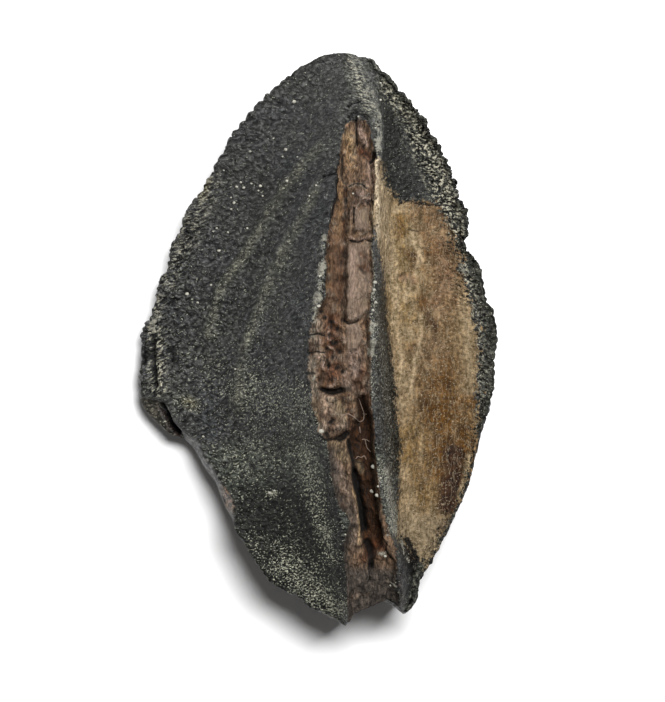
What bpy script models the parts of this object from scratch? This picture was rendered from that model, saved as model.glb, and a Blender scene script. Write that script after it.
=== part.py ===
"""A ceratopsian dinosaur tooth crown, broken from its root, lying on its back.

The crown is one grown piece, so it is one solid. It is lofted from cross-sections that fan
from the tip to the broken base. Each section runs over the broad left face, up to the keel,
across the keel's broken crest, down the steep flank into the hollow right face, and back
underneath. +Z is the enamelled side, +Y the tip, and the back rests on a small worn flat.
"""

import math

import bmesh
import bpy
import numpy as np

MM = 0.001

# Rails run from the tip to the base, as (x, y, z) in millimetres.
LEFT_MARGIN = [
    (1.1, 20.0, 6.3), (0.0, 19.7, 6.2), (-1.3, 19.0, 6.0), (-2.7, 17.9, 5.7),
    (-3.9, 16.7, 5.4), (-5.0, 15.5, 5.1), (-6.2, 13.9, 4.8), (-7.4, 12.1, 4.5),
    (-8.5, 10.1, 4.2), (-9.5, 8.3, 3.9), (-10.4, 6.2, 3.6), (-11.0, 4.3, 3.3),
    (-11.6, 2.5, 3.1), (-12.3, 0.4, 2.9), (-12.5, -1.5, 2.8), (-12.7, -3.6, 2.7),
    (-12.3, -4.8, 2.7), (-11.2, -6.0, 2.9), (-9.9, -6.8, 3.4), (-9.0, -7.6, 3.9),
    (-7.9, -9.4, 4.9), (-6.8, -11.2, 5.7), (-6.0, -13.1, 6.3), (-5.0, -14.9, 6.9),
    (-3.8, -16.6, 7.3), (-2.1, -17.8, 7.6), (0.0, -19.1, 7.9), (1.8, -20.0, 8.2),
]
LEFT_LIP = [
    (1.8, 19.95, 6.6), (2.0, 19.1, 7.3), (1.9, 18.1, 8.2), (1.8, 16.7, 9.3),
    (1.7, 14.9, 10.4), (1.4, 12.5, 11.4), (0.8, 9.7, 12.0), (0.5, 6.5, 12.4),
    (0.1, 3.4, 12.6), (-0.4, -0.1, 12.7), (-0.3, -3.6, 12.6), (0.0, -6.4, 12.4),
    (0.5, -8.9, 12.1), (1.3, -11.3, 11.7), (1.8, -14.8, 11.0), (2.0, -17.6, 10.2),
    (2.0, -19.6, 9.3),
]
RIGHT_LIP = [
    (2.7, 19.8, 6.6), (3.2, 18.9, 7.3), (3.6, 17.7, 8.2), (4.0, 16.3, 9.4),
    (4.3, 14.6, 10.5), (4.3, 12.1, 11.4), (4.1, 9.3, 11.9), (4.1, 6.2, 12.3),
    (3.9, 2.7, 12.5), (3.6, -0.8, 12.6), (3.6, -4.3, 12.4), (3.7, -7.8, 12.0),
    (4.1, -11.3, 11.3), (4.8, -14.8, 10.3), (5.3, -17.3, 9.5), (5.2, -18.7, 9.0),
]
RIGHT_FOOT = [
    (3.0, 19.7, 6.4), (3.8, 18.9, 6.6), (4.3, 17.7, 6.9), (4.6, 16.0, 7.1),
    (4.8, 13.9, 7.1), (5.1, 11.4, 7.0), (5.4, 9.0, 6.9), (5.3, 5.5, 6.8),
    (5.2, 2.0, 6.8), (5.5, -1.5, 6.8), (5.8, -5.0, 6.8), (6.1, -8.5, 6.8),
    (6.3, -12.0, 6.9), (6.6, -14.8, 7.1), (6.6, -17.3, 7.4), (5.8, -19.0, 7.8),
]
RIGHT_MARGIN = [
    (3.4, 19.6, 6.3), (4.1, 19.1, 6.3), (4.9, 18.2, 6.2), (6.0, 17.0, 6.2),
    (7.0, 15.7, 6.1), (8.0, 14.2, 6.1), (8.8, 12.6, 6.0), (9.5, 11.2, 6.0),
    (9.9, 9.3, 6.0), (10.4, 7.6, 6.0), (10.2, 6.7, 6.0), (11.2, 5.5, 6.0),
    (11.6, 3.4, 6.0), (12.3, 2.0, 6.0), (12.6, -0.1, 6.0), (12.4, -2.9, 6.1),
    (12.0, -5.5, 6.2), (11.3, -8.2, 6.3), (10.6, -10.9, 6.4), (9.5, -13.2, 6.5),
    (8.3, -15.1, 6.6), (7.5, -16.0, 6.7), (7.3, -17.1, 6.9), (6.9, -18.4, 7.2),
    (6.0, -19.2, 7.6),
]
# The two long edges of the worn flat under the crown. Where z is 0 the back is flat.
LEFT_REST = [
    (1.9, 19.5, 5.2), (0.6, 15.0, 2.0), (-1.2, 11.0, 0.4), (-2.6, 8.0, 0.0),
    (-4.0, 0.0, 0.0), (-3.6, -6.0, 0.0), (-1.6, -12.0, 0.0), (0.6, -15.5, 0.4),
    (2.3, -18.8, 1.5),
]
RIGHT_REST = [
    (2.7, 19.4, 5.2), (3.4, 15.0, 2.0), (4.2, 11.0, 0.4), (4.8, 8.0, 0.0),
    (5.4, 0.0, 0.0), (5.2, -6.0, 0.0), (4.6, -12.0, 0.0), (4.3, -15.5, 0.4),
    (4.3, -18.4, 1.5),
]

# Along the crown, as (share of the way from tip to base, size in mm).
RIM_THICKNESS = [(0.0, 0.9), (0.3, 1.2), (0.5, 1.6), (0.62, 2.2), (0.8, 4.0), (1.0, 5.6)]
CREST_RISE = [
    (0.0, 0.3), (0.14, 0.5), (0.19, -0.4), (0.4, -0.6), (0.6, -0.8), (0.75, -1.2),
    (0.88, -1.7), (1.0, -0.7),
]

FACE_SAG = 0.17  # how far the left face dips below a straight line, as a share of its rise
HOLLOW_DEPTH = 0.9  # how far the right face dips below its foot and margin
RIM_INSET = 0.25  # how far the back's edge stands in from the margin
BELLY_BULGE = 0.22  # how far the back swells past a straight line, as a share of its rise
SOCKET_DEPTH = 1.2  # how far the broken base is dished
DENTICLE = (-0.1, 0.16, 0.1)  # one denticle: how far out the margin stands, section by section
SERRATED = 0.6  # the share of each margin that carries denticles, from the tip

SECTIONS = 118
FACE_STEPS = 10
LIP_STEPS = 3
FLANK_STEPS = 3
HOLLOW_STEPS = 6
BELLY_STEPS = 4
SOCKET_RINGS = 4


def curve_through(knots, values, at):
    """A smooth curve that doesn't overshoot: cubic pieces with limited slopes."""
    knots = np.asarray(knots, float)
    values = np.asarray(values, float)
    gaps = np.diff(knots)
    slopes = np.diff(values) / gaps
    tangents = np.zeros(len(knots))
    for i in range(1, len(knots) - 1):
        before, after = slopes[i - 1], slopes[i]
        if before * after > 0:
            w_before = 2 * gaps[i] + gaps[i - 1]
            w_after = gaps[i] + 2 * gaps[i - 1]
            tangents[i] = (w_before + w_after) / (w_before / before + w_after / after)
    tangents[0], tangents[-1] = slopes[0], slopes[-1]
    piece = np.clip(np.searchsorted(knots, at, side="right") - 1, 0, len(gaps) - 1)
    t = (at - knots[piece]) / gaps[piece]
    return (
        (2 * t**3 - 3 * t**2 + 1) * values[piece]
        + (t**3 - 2 * t**2 + t) * gaps[piece] * tangents[piece]
        + (3 * t**2 - 2 * t**3) * values[piece + 1]
        + (t**3 - t**2) * gaps[piece] * tangents[piece + 1]
    )


def along_rail(rail, shares):
    """Points at these shares of a rail's length."""
    points = np.array(rail, float)
    lengths = np.linalg.norm(np.diff(points[:, :2], axis=0), axis=1)
    knots = np.concatenate([[0.0], np.cumsum(lengths)]) / lengths.sum()
    return np.stack([curve_through(knots, points[:, k], shares) for k in range(3)], axis=1)


def size_along(table, shares):
    knots, sizes = zip(*table)
    return curve_through(knots, sizes, shares)


def serrate(margin, shares, outwards):
    """Pushes a margin out in rounded denticles near the tip, and fades them towards the base."""
    out = np.resize(DENTICLE, len(margin))
    fade = np.clip((SERRATED - shares) / 0.1, 0, 1) * np.clip(shares / 0.06, 0, 1)
    ahead = np.gradient(margin[:, :2], axis=0)
    normal = np.stack([-ahead[:, 1], ahead[:, 0]], axis=1) * outwards
    normal /= np.linalg.norm(normal, axis=1, keepdims=True)
    moved = margin.copy()
    moved[:, :2] += normal * (out * fade)[:, None]
    return moved


def between(start, end, steps, lift=0.0):
    """Columns from start towards end, without end, bowed by lift millimetres in z."""
    shares = np.arange(steps) / steps
    bow = 4 * shares * (1 - shares)
    return [
        start + (end - start) * share + np.array([0, 0, 1]) * (lift * b)
        for share, b in zip(shares, bow)
    ]


def left_face(margin, lip):
    """From the margin up to the keel, dipping below a straight line."""
    columns = between(margin, lip, FACE_STEPS)
    rise = lip[:, 2] - margin[:, 2]
    for step, column in enumerate(columns):
        share = step / FACE_STEPS
        column[:, 2] -= rise * FACE_SAG * math.sin(math.pi * share)
    return columns


def right_face(foot, margin, shares):
    """The hollow between the keel's foot and the right margin."""
    ends = np.clip(np.minimum(shares, 1 - shares) / 0.12, 0, 1)
    columns = between(foot, margin, HOLLOW_STEPS)
    for step, column in enumerate(columns):
        share = step / HOLLOW_STEPS
        column[:, 2] -= HOLLOW_DEPTH * ends * math.sin(math.pi * share) ** 0.8
    return columns


def back_edge(margin, centre, thickness):
    """The margin's lower edge: in towards the crown's middle, and down by the rim's thickness."""
    inwards = centre[:, :2] - margin[:, :2]
    inwards /= np.maximum(np.linalg.norm(inwards, axis=1, keepdims=True), 1e-6)
    edge = margin.copy()
    edge[:, :2] += inwards * RIM_INSET
    edge[:, 2] -= thickness
    return edge


def belly_swell(edge, rest):
    """How far the back stands below straight lines from its edge to the worn flat."""
    return -BELLY_BULGE * (edge[:, 2] - rest[:, 2])[:, None]


def sections():
    """Every cross-section, as an array of rings by points by coordinates, in millimetres."""
    turn = np.linspace(0, math.pi, SECTIONS)
    shares = 0.5 * np.linspace(0, 1, SECTIONS) + 0.25 * (1 - np.cos(turn))
    margin_l = along_rail(LEFT_MARGIN, shares)
    lip_l = along_rail(LEFT_LIP, shares)
    lip_r = along_rail(RIGHT_LIP, shares)
    foot = along_rail(RIGHT_FOOT, shares)
    margin_r = along_rail(RIGHT_MARGIN, shares)
    rest_l = along_rail(LEFT_REST, shares)
    rest_r = along_rail(RIGHT_REST, shares)
    margin_l = serrate(margin_l, shares, -1)
    margin_r = serrate(margin_r, shares, 1)
    crest = (lip_l + lip_r) / 2
    crest[:, 2] += size_along(CREST_RISE, shares)
    thickness = size_along(RIM_THICKNESS, shares)
    edge_l = back_edge(margin_l, crest, thickness)
    edge_r = back_edge(margin_r, crest, thickness)
    columns = left_face(margin_l, lip_l)
    columns += between(lip_l, crest, LIP_STEPS)
    columns += between(crest, lip_r, LIP_STEPS)
    columns += between(lip_r, foot, FLANK_STEPS)
    columns += right_face(foot, margin_r, shares)
    columns += [margin_r]
    columns += between(edge_r, rest_r, BELLY_STEPS, belly_swell(edge_r, rest_r))
    columns += [rest_r]
    columns += between(rest_l, edge_l, BELLY_STEPS, belly_swell(edge_l, rest_l))
    columns += [edge_l]
    return centred(np.stack(columns, axis=1))


def centred(rings):
    """The same rings with the origin under the middle of the crown's outline."""
    low = rings.min(axis=(0, 1))
    high = rings.max(axis=(0, 1))
    middle = (low + high) / 2
    middle[2] = low[2]
    return rings - middle


def socket_rings(last):
    """Rings that close the broken base, dished in towards the tip."""
    centre = last.mean(axis=0)
    rings = []
    for step in range(1, SOCKET_RINGS):
        size = 1 - step / SOCKET_RINGS
        ring = centre + (last - centre) * size
        ring[:, 1] += SOCKET_DEPTH * (1 - size**2)
        rings.append(ring)
    centre = centre + np.array([0, SOCKET_DEPTH, 0])
    return rings, centre


def loft(rings):
    """A bmesh skin over closed rings, with a flat cap at the tip and a dished one at the base."""
    dished, deepest = socket_rings(rings[-1])
    mesh = bmesh.new()
    skin = [[mesh.verts.new(point * MM) for point in ring] for ring in [*rings, *dished]]
    count = len(skin[0])
    for ring, following in zip(skin, skin[1:]):
        for i in range(count):
            j = (i + 1) % count
            mesh.faces.new((ring[i], ring[j], following[j], following[i]))
    mesh.faces.new(list(reversed(skin[0])))
    middle = mesh.verts.new(deepest * MM)
    for i in range(count):
        mesh.faces.new((skin[-1][i], skin[-1][(i + 1) % count], middle))
    bmesh.ops.recalc_face_normals(mesh, faces=mesh.faces)
    return mesh


def fossil_material():
    """Dark fossil enamel."""
    material = bpy.data.materials.new("fossil_enamel")
    material.use_nodes = True
    shader = material.node_tree.nodes["Principled BSDF"]
    shader.inputs["Base Color"].default_value = (0.045, 0.047, 0.05, 1)
    shader.inputs["Roughness"].default_value = 0.5
    shader.inputs["Metallic"].default_value = 0.0
    return material


def main():
    for obj in list(bpy.data.objects):
        bpy.data.objects.remove(obj)
    collection = bpy.data.collections.new("dinosaur_tooth")
    bpy.context.scene.collection.children.link(collection)
    mesh = bpy.data.meshes.new("tooth")
    skin = loft(sections())
    skin.to_mesh(mesh)
    skin.free()
    mesh.materials.append(fossil_material())
    mesh.shade_smooth()
    mesh.set_sharp_from_angle(angle=math.radians(40))
    collection.objects.link(bpy.data.objects.new("tooth", mesh))


main()
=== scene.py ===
import itertools
import math

import bpy
import numpy as np
from mathutils import Matrix, Vector


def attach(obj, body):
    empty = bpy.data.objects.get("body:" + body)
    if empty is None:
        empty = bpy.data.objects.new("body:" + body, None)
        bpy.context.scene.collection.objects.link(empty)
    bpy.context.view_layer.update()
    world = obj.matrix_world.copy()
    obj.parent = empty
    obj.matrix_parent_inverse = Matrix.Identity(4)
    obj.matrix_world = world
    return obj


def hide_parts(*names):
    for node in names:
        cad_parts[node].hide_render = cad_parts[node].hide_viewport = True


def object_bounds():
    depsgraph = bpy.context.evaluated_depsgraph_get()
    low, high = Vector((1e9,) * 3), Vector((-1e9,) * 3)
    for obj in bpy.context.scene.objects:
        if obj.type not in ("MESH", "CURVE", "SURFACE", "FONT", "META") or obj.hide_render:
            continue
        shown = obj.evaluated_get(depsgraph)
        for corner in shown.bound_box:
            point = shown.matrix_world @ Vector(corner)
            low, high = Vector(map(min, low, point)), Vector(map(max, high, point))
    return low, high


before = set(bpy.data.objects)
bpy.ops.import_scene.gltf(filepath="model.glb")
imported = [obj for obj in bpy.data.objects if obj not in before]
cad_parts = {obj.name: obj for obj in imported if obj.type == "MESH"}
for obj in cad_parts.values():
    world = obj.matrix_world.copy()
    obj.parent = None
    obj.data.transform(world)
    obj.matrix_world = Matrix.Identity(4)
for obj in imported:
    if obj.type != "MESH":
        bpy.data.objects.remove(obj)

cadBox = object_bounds()
mm = 0.001  # sizes and places below are in millimetres, with +y to the tip and +z up
print("frame loaded")


# the helpers for noise, distance and curves all work on arrays of points

def hashed(cells, salt):
    # a fixed number from 0 to 1 for each whole-number cell
    a, b, c = (cells[..., k].astype(np.uint64) for k in range(3))
    mixed = a * np.uint64(374761393) + b * np.uint64(668265263) + c * np.uint64(2246822519)
    mixed = (mixed + np.uint64(salt * 3266489917)) & np.uint64(0xffffffff)
    for shift, factor in ((15, 2246822519), (13, 3266489917), (16, 668265263)):
        mixed = ((mixed ^ (mixed >> np.uint64(shift))) * np.uint64(factor)) & np.uint64(0xffffffff)
    return (mixed >> np.uint64(8)).astype(float) / 0xffffff


def softNoise(points, size, salt):
    # smooth bumps about size across, from -1 to 1
    at = points / size + 31.7
    low = np.floor(at).astype(np.int64)
    t = at - low
    t = t * t * (3 - 2 * t)
    total = 0
    for corner in itertools.product((0, 1), repeat=3):
        weight = np.prod(np.where(np.array(corner, bool), t, 1 - t), axis=-1)
        total = total + weight * hashed(low + np.array(corner), salt)
    return 2 * total - 1


def layeredNoise(points, size, salt, layers=3):
    total = 0
    for k in range(layers):
        total = total + softNoise(points, size / 2**k, salt + k) / 2**k
    return total / (2 - 2 ** (1 - layers))


def smoothStep(low, high, value):
    t = np.clip((value - low) / (high - low), 0, 1)
    return t * t * (3 - 2 * t)


def pathDistance(xy, path):
    # distance to a line of points, in the plan view
    nearest = np.full(xy.shape[:-1], 1e9)
    for start, end in zip(path, path[1:]):
        start, along = np.array(start, float), np.subtract(end, start)
        t = np.clip(((xy - start) @ along) / max(along @ along, 1e-9), 0, 1)
        nearest = np.minimum(nearest, np.linalg.norm(xy - start - t[..., None] * along, axis=-1))
    return nearest


def insideDistance(xy, outline):
    # distance to a closed outline in the plan view, positive inside it
    closed = [*outline, outline[0]]
    inside = np.zeros(xy.shape[:-1], bool)
    x, y = xy[..., 0], xy[..., 1]
    for (ax, ay), (bx, by) in zip(closed, closed[1:]):
        if ay != by:
            crosses = (ay > y) != (by > y)
            inside ^= crosses & (x < ax + (y - ay) * (bx - ax) / (by - ay))
    return np.where(inside, 1, -1) * pathDistance(xy, closed)


def smoothCurve(knots, values, at):
    # a curve through the values that never overshoots them
    knots, values = np.asarray(knots, float), np.asarray(values, float)
    wrinkleValleyShade = np.diff(knots)
    slopes = np.diff(values) / wrinkleValleyShade
    tangents = np.concatenate([slopes[:1], np.zeros(len(knots) - 2), slopes[-1:]])
    for i in range(1, len(knots) - 1):
        before, after = slopes[i - 1], slopes[i]
        if before * after > 0:
            wBefore, wAfter = 2 * wrinkleValleyShade[i] + wrinkleValleyShade[i - 1], wrinkleValleyShade[i] + 2 * wrinkleValleyShade[i - 1]
            tangents[i] = (wBefore + wAfter) / (wBefore / before + wAfter / after)
    piece = np.clip(np.searchsorted(knots, at, side="right") - 1, 0, len(wrinkleValleyShade) - 1)
    t = (at - knots[piece]) / wrinkleValleyShade[piece]
    return ((2 * t**3 - 3 * t**2 + 1) * values[piece]
            + (t**3 - 2 * t**2 + t) * wrinkleValleyShade[piece] * tangents[piece]
            + (3 * t**2 - 2 * t**3) * values[piece + 1]
            + (t**3 - t**2) * wrinkleValleyShade[piece] * tangents[piece + 1])


def fromTable(table, at):
    knots, values = zip(*table)
    return smoothCurve(knots, values, at)


crown = {
    "rows": 420,  # cross-sections from the tip to the broken base
    # points across each zone
    "leftFaceColumns": 80,
    "troughColumns": 44,
    "flankColumns": 20,
    "hollowColumns": 44,
    "rimColumns": 6,
    "backColumns": 13,
    "restColumns": 6,
    # plan outlines from tip to base
    "leftMargin": [
        (1.1, 20), (0.5, 19.9), (-0.2, 19.6), (-0.9, 19.2), (-1.5, 18.8), (-2.3, 18.1), (-3.3, 17.3),
        (-3.9, 16.7), (-4.4, 16.2), (-5, 15.5), (-5.4, 15), (-5.8, 14.5), (-6.3, 13.8), (-6.5, 13.2),
        (-6.9, 12.7), (-7.5, 11.7), (-7.9, 11.1), (-8.2, 10.3), (-8.7, 9.7), (-9.1, 9.2), (-9.6, 8.2),
        (-9.9, 7.3), (-10.3, 6.6), (-10.5, 5.7), (-10.7, 4.7), (-11.2, 4.3), (-11.4, 3.5), (-11.5, 2.7),
        (-11.7, 1.9), (-11.9, 1.2), (-12.3, 0.5), (-12.4, -0.4), (-12.5, -1.1), (-12.5, -2.2),
        (-12.6, -2.9), (-12.65, -4), (-12.5, -4.7), (-12.15, -5.25), (-11.6, -5.75), (-11, -6.3),
        (-10.4, -6.85), (-9.75, -6.95), (-9, -7.55), (-8.5, -8.3), (-7.9, -9.3), (-7.2, -10.2), (-6.8, -11.1),
        (-6.5, -11.9), (-6, -12.8), (-5.8, -13.5), (-5.2, -14.3), (-4.7, -15.2), (-4, -16.1),
        (-3.2, -17.1), (-2.3, -17.6), (-1.4, -18), (-0.5, -18.8), (0.7, -19.3), (1.9, -20.1),
    ],
    "rightMargin": [
        (3.4, 19.7), (3.9, 19.4), (4.1, 19), (4.3, 18.7), (4.8, 18.3), (5.3, 17.8), (5.6, 17.3),
        (6.1, 16.9), (6.6, 16.3), (7, 15.7), (7.5, 15.2), (7.7, 14.5), (8.3, 13.8), (8.6, 13.1),
        (9, 12.4), (9.3, 11.6), (9.6, 10.8), (9.8, 9.7), (10.3, 9.2), (10.5, 8.2), (10.5, 7.3),
        (10.2, 6.9), (10.3, 6.5), (10.7, 5.9), (11.2, 5.4), (11.5, 4.5), (11.7, 3.4), (11.9, 2.4),
        (12.3, 2.1), (12.4, 1.5), (12.6, 0.6), (12.6, -0.2), (12.4, -1.5), (12.4, -3.2), (12.1, -4.4),
        (11.9, -5.3), (11.5, -6.4), (11.2, -7.4), (11, -8.6), (10.6, -10), (10.2, -11.1), (9.7, -12.1),
        (9.2, -13.2), (8.5, -14.4), (7.9, -15.5), (7.6, -16), (7.4, -16.3), (7, -17.2), (6.85, -18),
        (6.5, -18.7), (6.2, -19.1), (6, -19.2),
    ],
    "leftLip": [
        (1.8, 20), (1.9, 19.2), (1.9, 18.1), (1.8, 16.7), (1.6, 15.3), (1.6, 14.1), (1.5, 12.8),
        (1.2, 11.5), (1.2, 10.1), (0.9, 8.7), (0.7, 7.2), (0.4, 6.2), (0, 4), (-0.2, 2), (-0.5, 0.1),
        (-0.5, -1.4), (-0.5, -2.9), (-0.3, -4.4), (0, -5.8), (0.2, -6.8), (0.7, -7.6), (0.9, -9.5),
        (1.3, -11), (1.6, -13), (1.9, -14.9), (2.1, -16.9), (2.1, -18.3), (2.1, -19.7),
    ],
    "rightLip": [
        (2.7, 19.9), (3.1, 19.2), (3.4, 18.5), (3.7, 17.4), (4, 16.4), (4.2, 15.5), (4.2, 13.9),
        (4.1, 12.5), (4, 11.3), (4, 9.7), (3.9, 8), (3.9, 6.2), (4, 4.5), (3.9, 2.7), (3.7, 1.3),
        (3.8, -0.4), (3.8, -2.2), (3.8, -3.9), (4, -5.8), (4.1, -7.8), (4.2, -9.5), (4.4, -11),
        (4.6, -12.5), (4.9, -13.5), (5.2, -14.6), (5.5, -15.8), (5.6, -17.2), (5.7, -18.3), (5.7, -19),
    ],
    "foot": [
        (3, 19.7), (3.7, 19), (4.2, 17.8), (4.4, 16.7), (4.7, 15.5), (4.8, 13.9), (4.9, 12.5),
        (5.2, 11.1), (5.4, 9.4), (5.4, 7.3), (5.3, 5.5), (5.3, 3.4), (5.4, 1.3), (5.5, -0.8),
        (5.6, -2.9), (5.7, -5), (5.8, -7.1), (6, -9.2), (6.1, -11.3), (6.2, -12.7), (6.2, -14.1),
        (6.4, -15.1), (6.6, -16.2), (6.6, -17.2), (6.4, -18.1), (6.1, -18.7), (5.9, -19.1),
    ],
    "leftRest": [
        (1.9, 19.5), (0.6, 15.0), (-1.2, 11.0), (-2.6, 8.0), (-4.0, 0.0), (-3.6, -6.0), (-1.6, -12.0),
        (0.6, -15.5), (2.3, -18.8),
    ],
    "rightRest": [
        (2.7, 19.4), (3.4, 15.0), (4.2, 11.0), (4.8, 8.0), (5.4, 0.0), (5.2, -6.0), (4.6, -12.0),
        (4.3, -15.5), (4.3, -18.4),
    ],
    # how far the broken base's edge stands from a straight line, from the left point to the right one
    "baseEdge": [(0, 0), (0.1, 0.1), (0.25, 0.3), (0.45, 0.5), (0.7, 0.7), (0.82, 0.85), (0.9, 0.6),
                 (0.96, 0.1), (1, 0)],
    # heights and sizes by the share of the way from tip to base
    "leftMarginHeight": [(0, 6.3), (0.05, 5.9), (0.12, 5.3), (0.22, 4.6), (0.34, 3.55), (0.42, 2.9),
                         (0.5, 2.55), (0.56, 2.5), (0.62, 3.0), (0.68, 4.15), (0.74, 5.4), (0.8, 6.35),
                         (0.86, 7.0), (0.92, 7.5), (1, 8.2)],
    "rightMarginHeight": [(0, 6.3), (0.12, 6.1), (0.5, 6.0), (0.75, 6.4), (0.9, 6.8), (1, 7.5)],
    "keelHeight": [(0, 6.6), (0.025, 7.3), (0.05, 8.2), (0.085, 9.3), (0.13, 10.4), (0.19, 11.35),
                   (0.26, 11.95), (0.34, 12.3), (0.5, 12.52), (0.6, 12.45), (0.7, 12.1), (0.78, 11.7),
                   (0.87, 11.0), (0.94, 10.2), (1, 9.3)],
    "footHeight": [(0, 6.4), (0.05, 6.8), (0.1, 7.1), (0.3, 6.9), (0.6, 6.8), (0.8, 6.9), (0.92, 7.3),
                   (1, 7.7)],
    "restHeight": [(0, 5.2), (0.12, 2.0), (0.24, 0.4), (0.31, 0), (0.82, 0), (0.91, 0.4), (1, 1.5)],
    "rimThickness": [(0, 0.8), (0.3, 1.0), (0.5, 1.3), (0.57, 1.7), (0.62, 2.4), (0.8, 4.0), (1, 5.6)],
    "crestRise": [(0, 0.25), (0.1, 0.4), (0.14, 0.2), (0.19, 0)],
    "faceSag": 0.17,  # how far the left face dips below a straight line, as a share of its rise
    "hollowDepth": 0.9,
    "hollowEnds": 0.12,  # the share of the length in which the hollow fades out at each end
    "rimInset": 0.25,
    "lipDrop": 0.1,  # how much lower the crest's right lip is than its left one
    "rightRimShare": 0.85,  # the right rim's thickness, as a share of the left one's
    "detailReach": (2.2, 4.5),  # how far in a margin's small steps fade out, on the front and behind
    "bellyBulge": 0.22,
    "socketDepth": 1.0,
    "tipDepth": -0.05,
    # rings that close the tip and the base
    "tipRings": 3,
    "baseRings": 9,
    "fairedRows": 26,
    "backMapShare": 0.45,  # the back's room on the map for baking, to the front's
    # denticles by the distance along the margin from the tip
    "leftDenticles": [
        {"pitch": 0.55, "depth": 0.1, "from": (0.5, 3), "to": (3.6, 5), "salt": 2},
        {"pitch": 0.86, "depth": 0.26, "from": (3.6, 5), "to": (9.6, 11), "salt": 3},
        {"pitch": 0.6, "depth": 0.14, "from": (9.6, 11), "to": (15, 20), "salt": 6},
        {"pitch": 0.5, "depth": 0.1, "from": (15, 19), "to": (28, 30), "salt": 4},
        {"pitch": 0.5, "depth": 0.12, "from": (42, 44), "to": (51, 52), "salt": 5},
    ],
    "rightDenticles": [
        {"pitch": 0.8, "depth": 0.2, "from": (0.5, 2), "to": (16, 18), "salt": 8},
        {"pitch": 0.55, "depth": 0.13, "from": (17, 19), "to": (28, 31), "salt": 11},
    ],
}


def denticles(run, pitch, depth, salt):
    # how far the margin stands out: rounded denticles with narrow notches between them
    edges = [0.0]
    while edges[-1] < run[-1]:
        cell = np.array([len(edges), salt, 0])
        edges.append(edges[-1] + pitch * (0.75 + 0.5 * hashed(cell, 5)))
    edges = np.array(edges)
    which = np.clip(np.searchsorted(edges, run, side="right") - 1, 0, len(edges) - 2)
    t = (run - edges[which]) / (edges[which + 1] - edges[which])
    height = 0.65 + 0.7 * hashed(np.stack([which, which * 0 + salt, which * 0], axis=-1), 9)
    return depth * height * (np.sin(math.pi * t**0.75) ** 0.6 - 0.5)


def alongRail(name, shares):
    # the rail's places in the plan view, and how far along the rail each one is
    points = np.array(crown[name], float)
    steps = np.linalg.norm(np.diff(points, axis=0), axis=1)
    knots = np.concatenate([[0], np.cumsum(steps)]) / steps.sum()
    places = np.stack([smoothCurve(knots, points[:, k], shares) for k in range(2)], axis=1)
    return places, shares * steps.sum()


def withHeight(flat, heights):
    return np.concatenate([flat, heights[:, None]], axis=1)


def fairedOutline(flat, reach):
    # the outline without its small steps, with both ends kept
    weights = np.exp(-np.linspace(-2, 2, 2 * reach + 1) ** 2)
    weights /= weights.sum()
    padded = np.concatenate([2 * flat[0] - flat[reach:0:-1], flat, 2 * flat[-1] - flat[-2:-reach - 2:-1]])
    return np.stack([np.convolve(padded[:, k], weights, "valid") for k in range(2)], axis=1)


def edgeDetail(flat, faired, run, outwards, rules):
    # what the faired outline lacks: its small steps, and the denticles
    ahead = np.gradient(faired, axis=0)
    normal = np.stack([-ahead[:, 1], ahead[:, 0]], axis=1) * outwards
    normal /= np.linalg.norm(normal, axis=1, keepdims=True)
    out = 0
    for rule in rules:
        fade = smoothStep(*rule["from"], run) * (1 - smoothStep(*rule["to"], run))
        out = out + denticles(run, rule["pitch"], rule["depth"], rule["salt"]) * fade
    return flat - faired + normal * out[:, None]


def backEdge(margin, middle, thickness):
    inwards = middle[:, :2] - margin[:, :2]
    inwards /= np.maximum(np.linalg.norm(inwards, axis=1, keepdims=True), 1e-6)
    edge = margin.copy()
    edge[:, :2] += inwards * crown["rimInset"]
    edge[:, 2] -= thickness
    return edge


def evenly(count):
    return np.arange(count) / count


def closerAtEnds(count):
    t = evenly(count)
    return 0.6 * t + 0.2 * (1 - np.cos(math.pi * t))


def bridge(start, end, across):
    # columns of points from start to end, one for each number in across
    return start[:, None] + (end - start)[:, None] * across[None, :, None]


def crownRails(shares):
    # the lines from tip to base that the form hangs on, and what each margin's fairing left out
    rails, details, runs = {}, {}, {}
    for side, outwards in (("left", -1), ("right", 1)):
        flat, runs[side] = alongRail(side + "Margin", shares)
        faired = fairedOutline(flat, crown["fairedRows"])
        details[side] = edgeDetail(flat, faired, runs[side], outwards, crown[side + "Denticles"])
        rails[side + "Margin"] = withHeight(faired, fromTable(crown[side + "MarginHeight"], shares))
    keelHeight = fromTable(crown["keelHeight"], shares)
    restHeight = fromTable(crown["restHeight"], shares)
    heights = {"leftLip": keelHeight, "rightLip": keelHeight - crown["lipDrop"],
               "foot": fromTable(crown["footHeight"], shares),
               "leftRest": restHeight, "rightRest": restHeight}
    for name, height in heights.items():
        rails[name] = withHeight(alongRail(name, shares)[0], height)
    middle = (rails["leftLip"] + rails["rightLip"]) / 2
    thickness = fromTable(crown["rimThickness"], shares)
    rails["leftEdge"] = backEdge(rails["leftMargin"], middle, thickness)
    rails["rightEdge"] = backEdge(rails["rightMargin"], middle, thickness * crown["rightRimShare"])
    return rails, details, runs


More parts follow.
